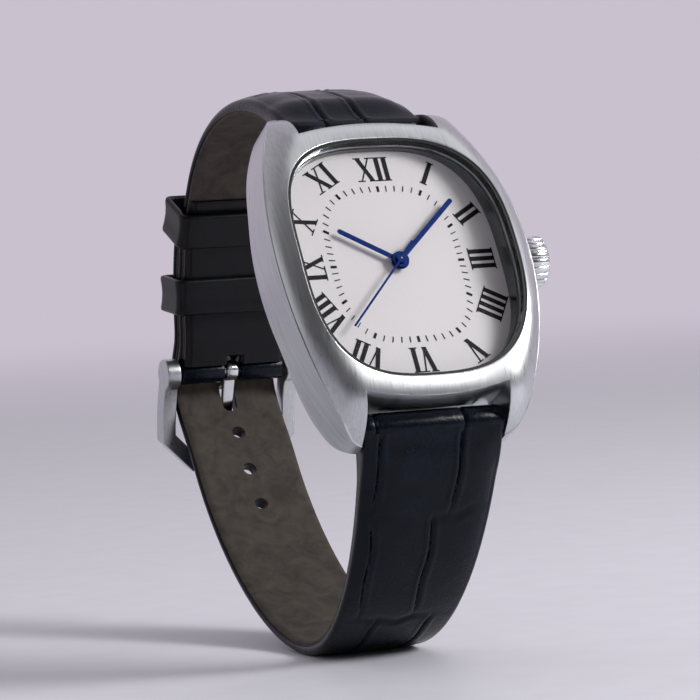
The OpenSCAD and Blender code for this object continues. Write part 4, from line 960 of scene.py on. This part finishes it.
def makeCrown():
    points, faces = crownCore()
    core = meshPiece("crownCore", points, faces)
    fixNormals(core, sharp=30)
    ribPoints, ribFaces = ribShape()
    rib = meshPiece("crownRib", ribPoints, ribFaces)
    fixNormals(rib, sharp=50)
    tree, countSocket = ribTree(rib, polishedSteel)
    modifier = core.modifiers.new("ribs", "NODES")
    modifier.node_group = tree
    modifier[countSocket] = crown["ribs"]
    applyModifiers(core)
    bpy.data.objects.remove(rib)
    centre = toHead([0, 0, -crown["depth"]]) * mm
    core.data.transform(Matrix.Translation(Vector(centre)))
    core.name = "crownKnob"
    dress(core, "winding", polishedSteel, "crown")


makeCrown()
print("crown made")


# Hands, buckle and screws keep the CAD's shape, with their edges broken. For each CAD node: the piece's
# name, its body, the width of its broken edges in mm, its finish and its slot

brokenEdges = {
    "hour_hand": ("hourHand", "hour", 0.04, bluedSteel, "hand_blue"),
    "minute_hand": ("minuteHand", "minute", 0.04, bluedSteel, "hand_blue"),
    "second_hand": ("secondHand", "second", 0.03, bluedSteel, "hand_blue"),
    "buckle_frame": ("buckleFrame", "buckle", 0.28, brushedSteel, "steel_case"),
    "buckle_tang": ("buckleTang", "tang", 0.16, polishedSteel, "steel_polished"),
    "case_back_screws": ("backScrews", "watch", 0.05, polishedSteel, "steel_polished")}
for node, (name, body, width, material, slotName) in brokenEdges.items():
    dress(bevelledCopy(node, name, width), body, material, node)

# These keep the CAD's shape as it is and only get their finish
finishOf = {
    "case_back": brushedSteel, "crystal": mineralGlass, "crystal_gasket": sealRubber, "inner_ring": shadeDarkenedRingSteel,
    "dial": dialLacquer, "dial_numerals": padInk, "minute_track": padInk, "hour_wheel": nickelledBrass,
    "cannon_pinion": nickelledBrass, "second_arbor": movementSteel, "movement_holder": holderPlastic,
    "main_plate": nickelledBrass,
    "train_cover": movementSteel, "coil": copperWinding, "stator": movementSteel, "rotor": movementSteel,
    "circuit_board": boardLaminate, "battery": movementSteel, "battery_clamp": movementSteel,
    "setting_lever": movementSteel, "stem": movementSteel, "crown_gasket": sealRubber,
    "crown_tube": polishedSteel, "case_back_gasket": sealRubber, "lug_spring_bars": polishedSteel,
    "buckle_spring_bar": polishedSteel}
for node, material in finishOf.items():
    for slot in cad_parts[node].material_slots:
        slot.link = "OBJECT"
        slot.material = material
print("small pieces finished")


# Camera: the photograph's place, turned to the right, tipped down and rolled

camera = {"place": (-187.0, -437.3, 59.5), "yaw": 23.306, "down": 2.24, "roll": 3.01, "lens": 180.0,
          "sensor": 36.0}


def makeCamera():
    yaw, down, roll = (math.radians(camera[k]) for k in ("yaw", "down", "roll"))
    forward = Vector((math.sin(yaw) * math.cos(down), math.cos(yaw) * math.cos(down), -math.sin(down)))
    right = Vector((math.cos(yaw), -math.sin(yaw), 0))
    up = right.cross(forward)
    rolledRight = right * math.cos(roll) - up * math.sin(roll)
    rolledUp = right * math.sin(roll) + up * math.cos(roll)
    data = bpy.data.cameras.new("photoCamera")
    data.lens, data.sensor_width = camera["lens"], camera["sensor"]
    data.clip_start, data.clip_end = 0.01, 50
    piece = bpy.data.objects.new("photoCamera", data)
    turn = Matrix((rolledRight, rolledUp, -forward)).transposed().to_4x4()
    piece.matrix_world = Matrix.Translation(Vector(camera["place"]) * mm) @ turn
    bpy.context.scene.collection.objects.link(piece)
    bpy.context.scene.camera = piece


# Each lamp: its name, its place and size in mm, and its power in watts
studio = {"floor": "#ECEBF3", "floorDarker": "#E9E7F0", "floorRadius": 4000, "fadeFrom": 260.0,
          "fadeTo": 1500.0, "backdrop": "#C9C1CE", "skyColour": "#F4F2F8", "skyFront": 0.1, "skyBack": 0.66,
          "skySpan": (-0.8, 0.6), "mirrorSpan": (0.0, 0.6), "awayFromCamera": (0.39, 0.92, 0.0),
          "lampAim": (0, 0, 40),
          "lamps": [("keyLamp", (483, -377, 409), 240, 3.6), ("topLamp", (270, -60, 640), 260, 0.14),
                    ("frontLamp", (287, -525, 404), 120, 0.13), ("leftLamp", (-640, 100, 220), 400, 0.22)]}


def sheetMaterial():
    # Matt acrylic sheet, which fades into the backdrop's colour far behind the watch
    material = grainMaterial("matteAcrylicSheet", studio["floor"], studio["floorDarker"], 0.0, 0.5, 8.0,
                             bump=0.01)
    tree = material.node_tree
    place = addNode(tree, "ShaderNodeTexCoord")
    distance = addNode(tree, "ShaderNodeVectorMath", {0: place.outputs["Object"]}, operation="LENGTH")
    fade = addNode(tree, "ShaderNodeMapRange", {"Value": distance.outputs["Value"]},
                   From_Min=studio["fadeFrom"] * mm, From_Max=studio["fadeTo"] * mm)
    fade.interpolation_type = "SMOOTHERSTEP"
    far = addNode(tree, "ShaderNodeEmission", Color=hexColour(studio["backdrop"]))
    near = tree.nodes["Principled BSDF"]
    mix = addNode(tree, "ShaderNodeMixShader",
                  {0: fade.outputs["Result"], 1: near.outputs[0], 2: far.outputs[0]})
    tree.links.new(mix.outputs[0], tree.nodes["Material Output"].inputs["Surface"])
    return material


def makeLamps():
    for name, place, size, power in studio["lamps"]:
        lamp = bpy.data.lights.new(name, "AREA")
        lamp.shape, lamp.size, lamp.energy = "SQUARE", size * mm, power
        piece = bpy.data.objects.new(name, lamp)
        piece.location = Vector(place) * mm
        aim = Vector(studio["lampAim"]) * mm - piece.location
        piece.rotation_mode = "QUATERNION"
        piece.rotation_quaternion = aim.to_track_quat("-Z", "Y")
        bpy.context.scene.collection.objects.link(piece)


def makeWorld():
    # A pale room behind the watch that darkens towards the camera; the camera itself sees the plain backdrop
    world = bpy.data.worlds.new("studioWorld")
    bpy.context.scene.world = world
    world.use_nodes = True
    tree = world.node_tree
    tree.nodes.clear()
    path = addNode(tree, "ShaderNodeLightPath")
    place = addNode(tree, "ShaderNodeTexCoord")
    away = addNode(tree, "ShaderNodeVectorMath", {0: place.outputs["Generated"]}, operation="DOT_PRODUCT")
    away.inputs[1].default_value = studio["awayFromCamera"]
    skyMin, skyMax = studio["skySpan"]
    sky = addNode(tree, "ShaderNodeMapRange", {"Value": away.outputs["Value"]}, From_Min=skyMin,
                  From_Max=skyMax, To_Min=studio["skyFront"], To_Max=studio["skyBack"])
    light = addNode(tree, "ShaderNodeBackground", {"Strength": sky.outputs["Result"]},
                    Color=hexColour(studio["skyColour"]))
    seen = addNode(tree, "ShaderNodeBackground", Color=hexColour(studio["backdrop"]))
    # Glass passes the backdrop on as it is, and metal mirrors it where it faces what is behind the watch
    clear = addNode(tree, "ShaderNodeMath",
                    {0: path.outputs["Is Camera Ray"], 1: path.outputs["Is Transmission Ray"]},
                    operation="MAXIMUM")
    mirrorMin, mirrorMax = studio["mirrorSpan"]
    behind = addNode(tree, "ShaderNodeMapRange", {"Value": away.outputs["Value"]}, From_Min=mirrorMin,
                     From_Max=mirrorMax)
    mirrored = addNode(tree, "ShaderNodeMath",
                       {0: path.outputs["Is Glossy Ray"], 1: behind.outputs["Result"]}, operation="MULTIPLY")
    shown = addNode(tree, "ShaderNodeMath", {0: clear.outputs[0], 1: mirrored.outputs[0]},
                    operation="MAXIMUM")
    mix = addNode(tree, "ShaderNodeMixShader", {0: shown.outputs[0], 1: light.outputs[0], 2: seen.outputs[0]})
    out = addNode(tree, "ShaderNodeOutputWorld")
    tree.links.new(mix.outputs[0], out.inputs["Surface"])


def makeStudio():
    bpy.ops.mesh.primitive_circle_add(vertices=128, radius=studio["floorRadius"] * mm, fill_type="NGON")
    floor = bpy.context.object
    floor.name = "studioFloor"
    floor.data.materials.append(sheetMaterial())
    makeLamps()
    makeWorld()
    bpy.context.scene.view_settings.view_transform = "Standard"


makeCamera()
makeStudio()
print("studio made")
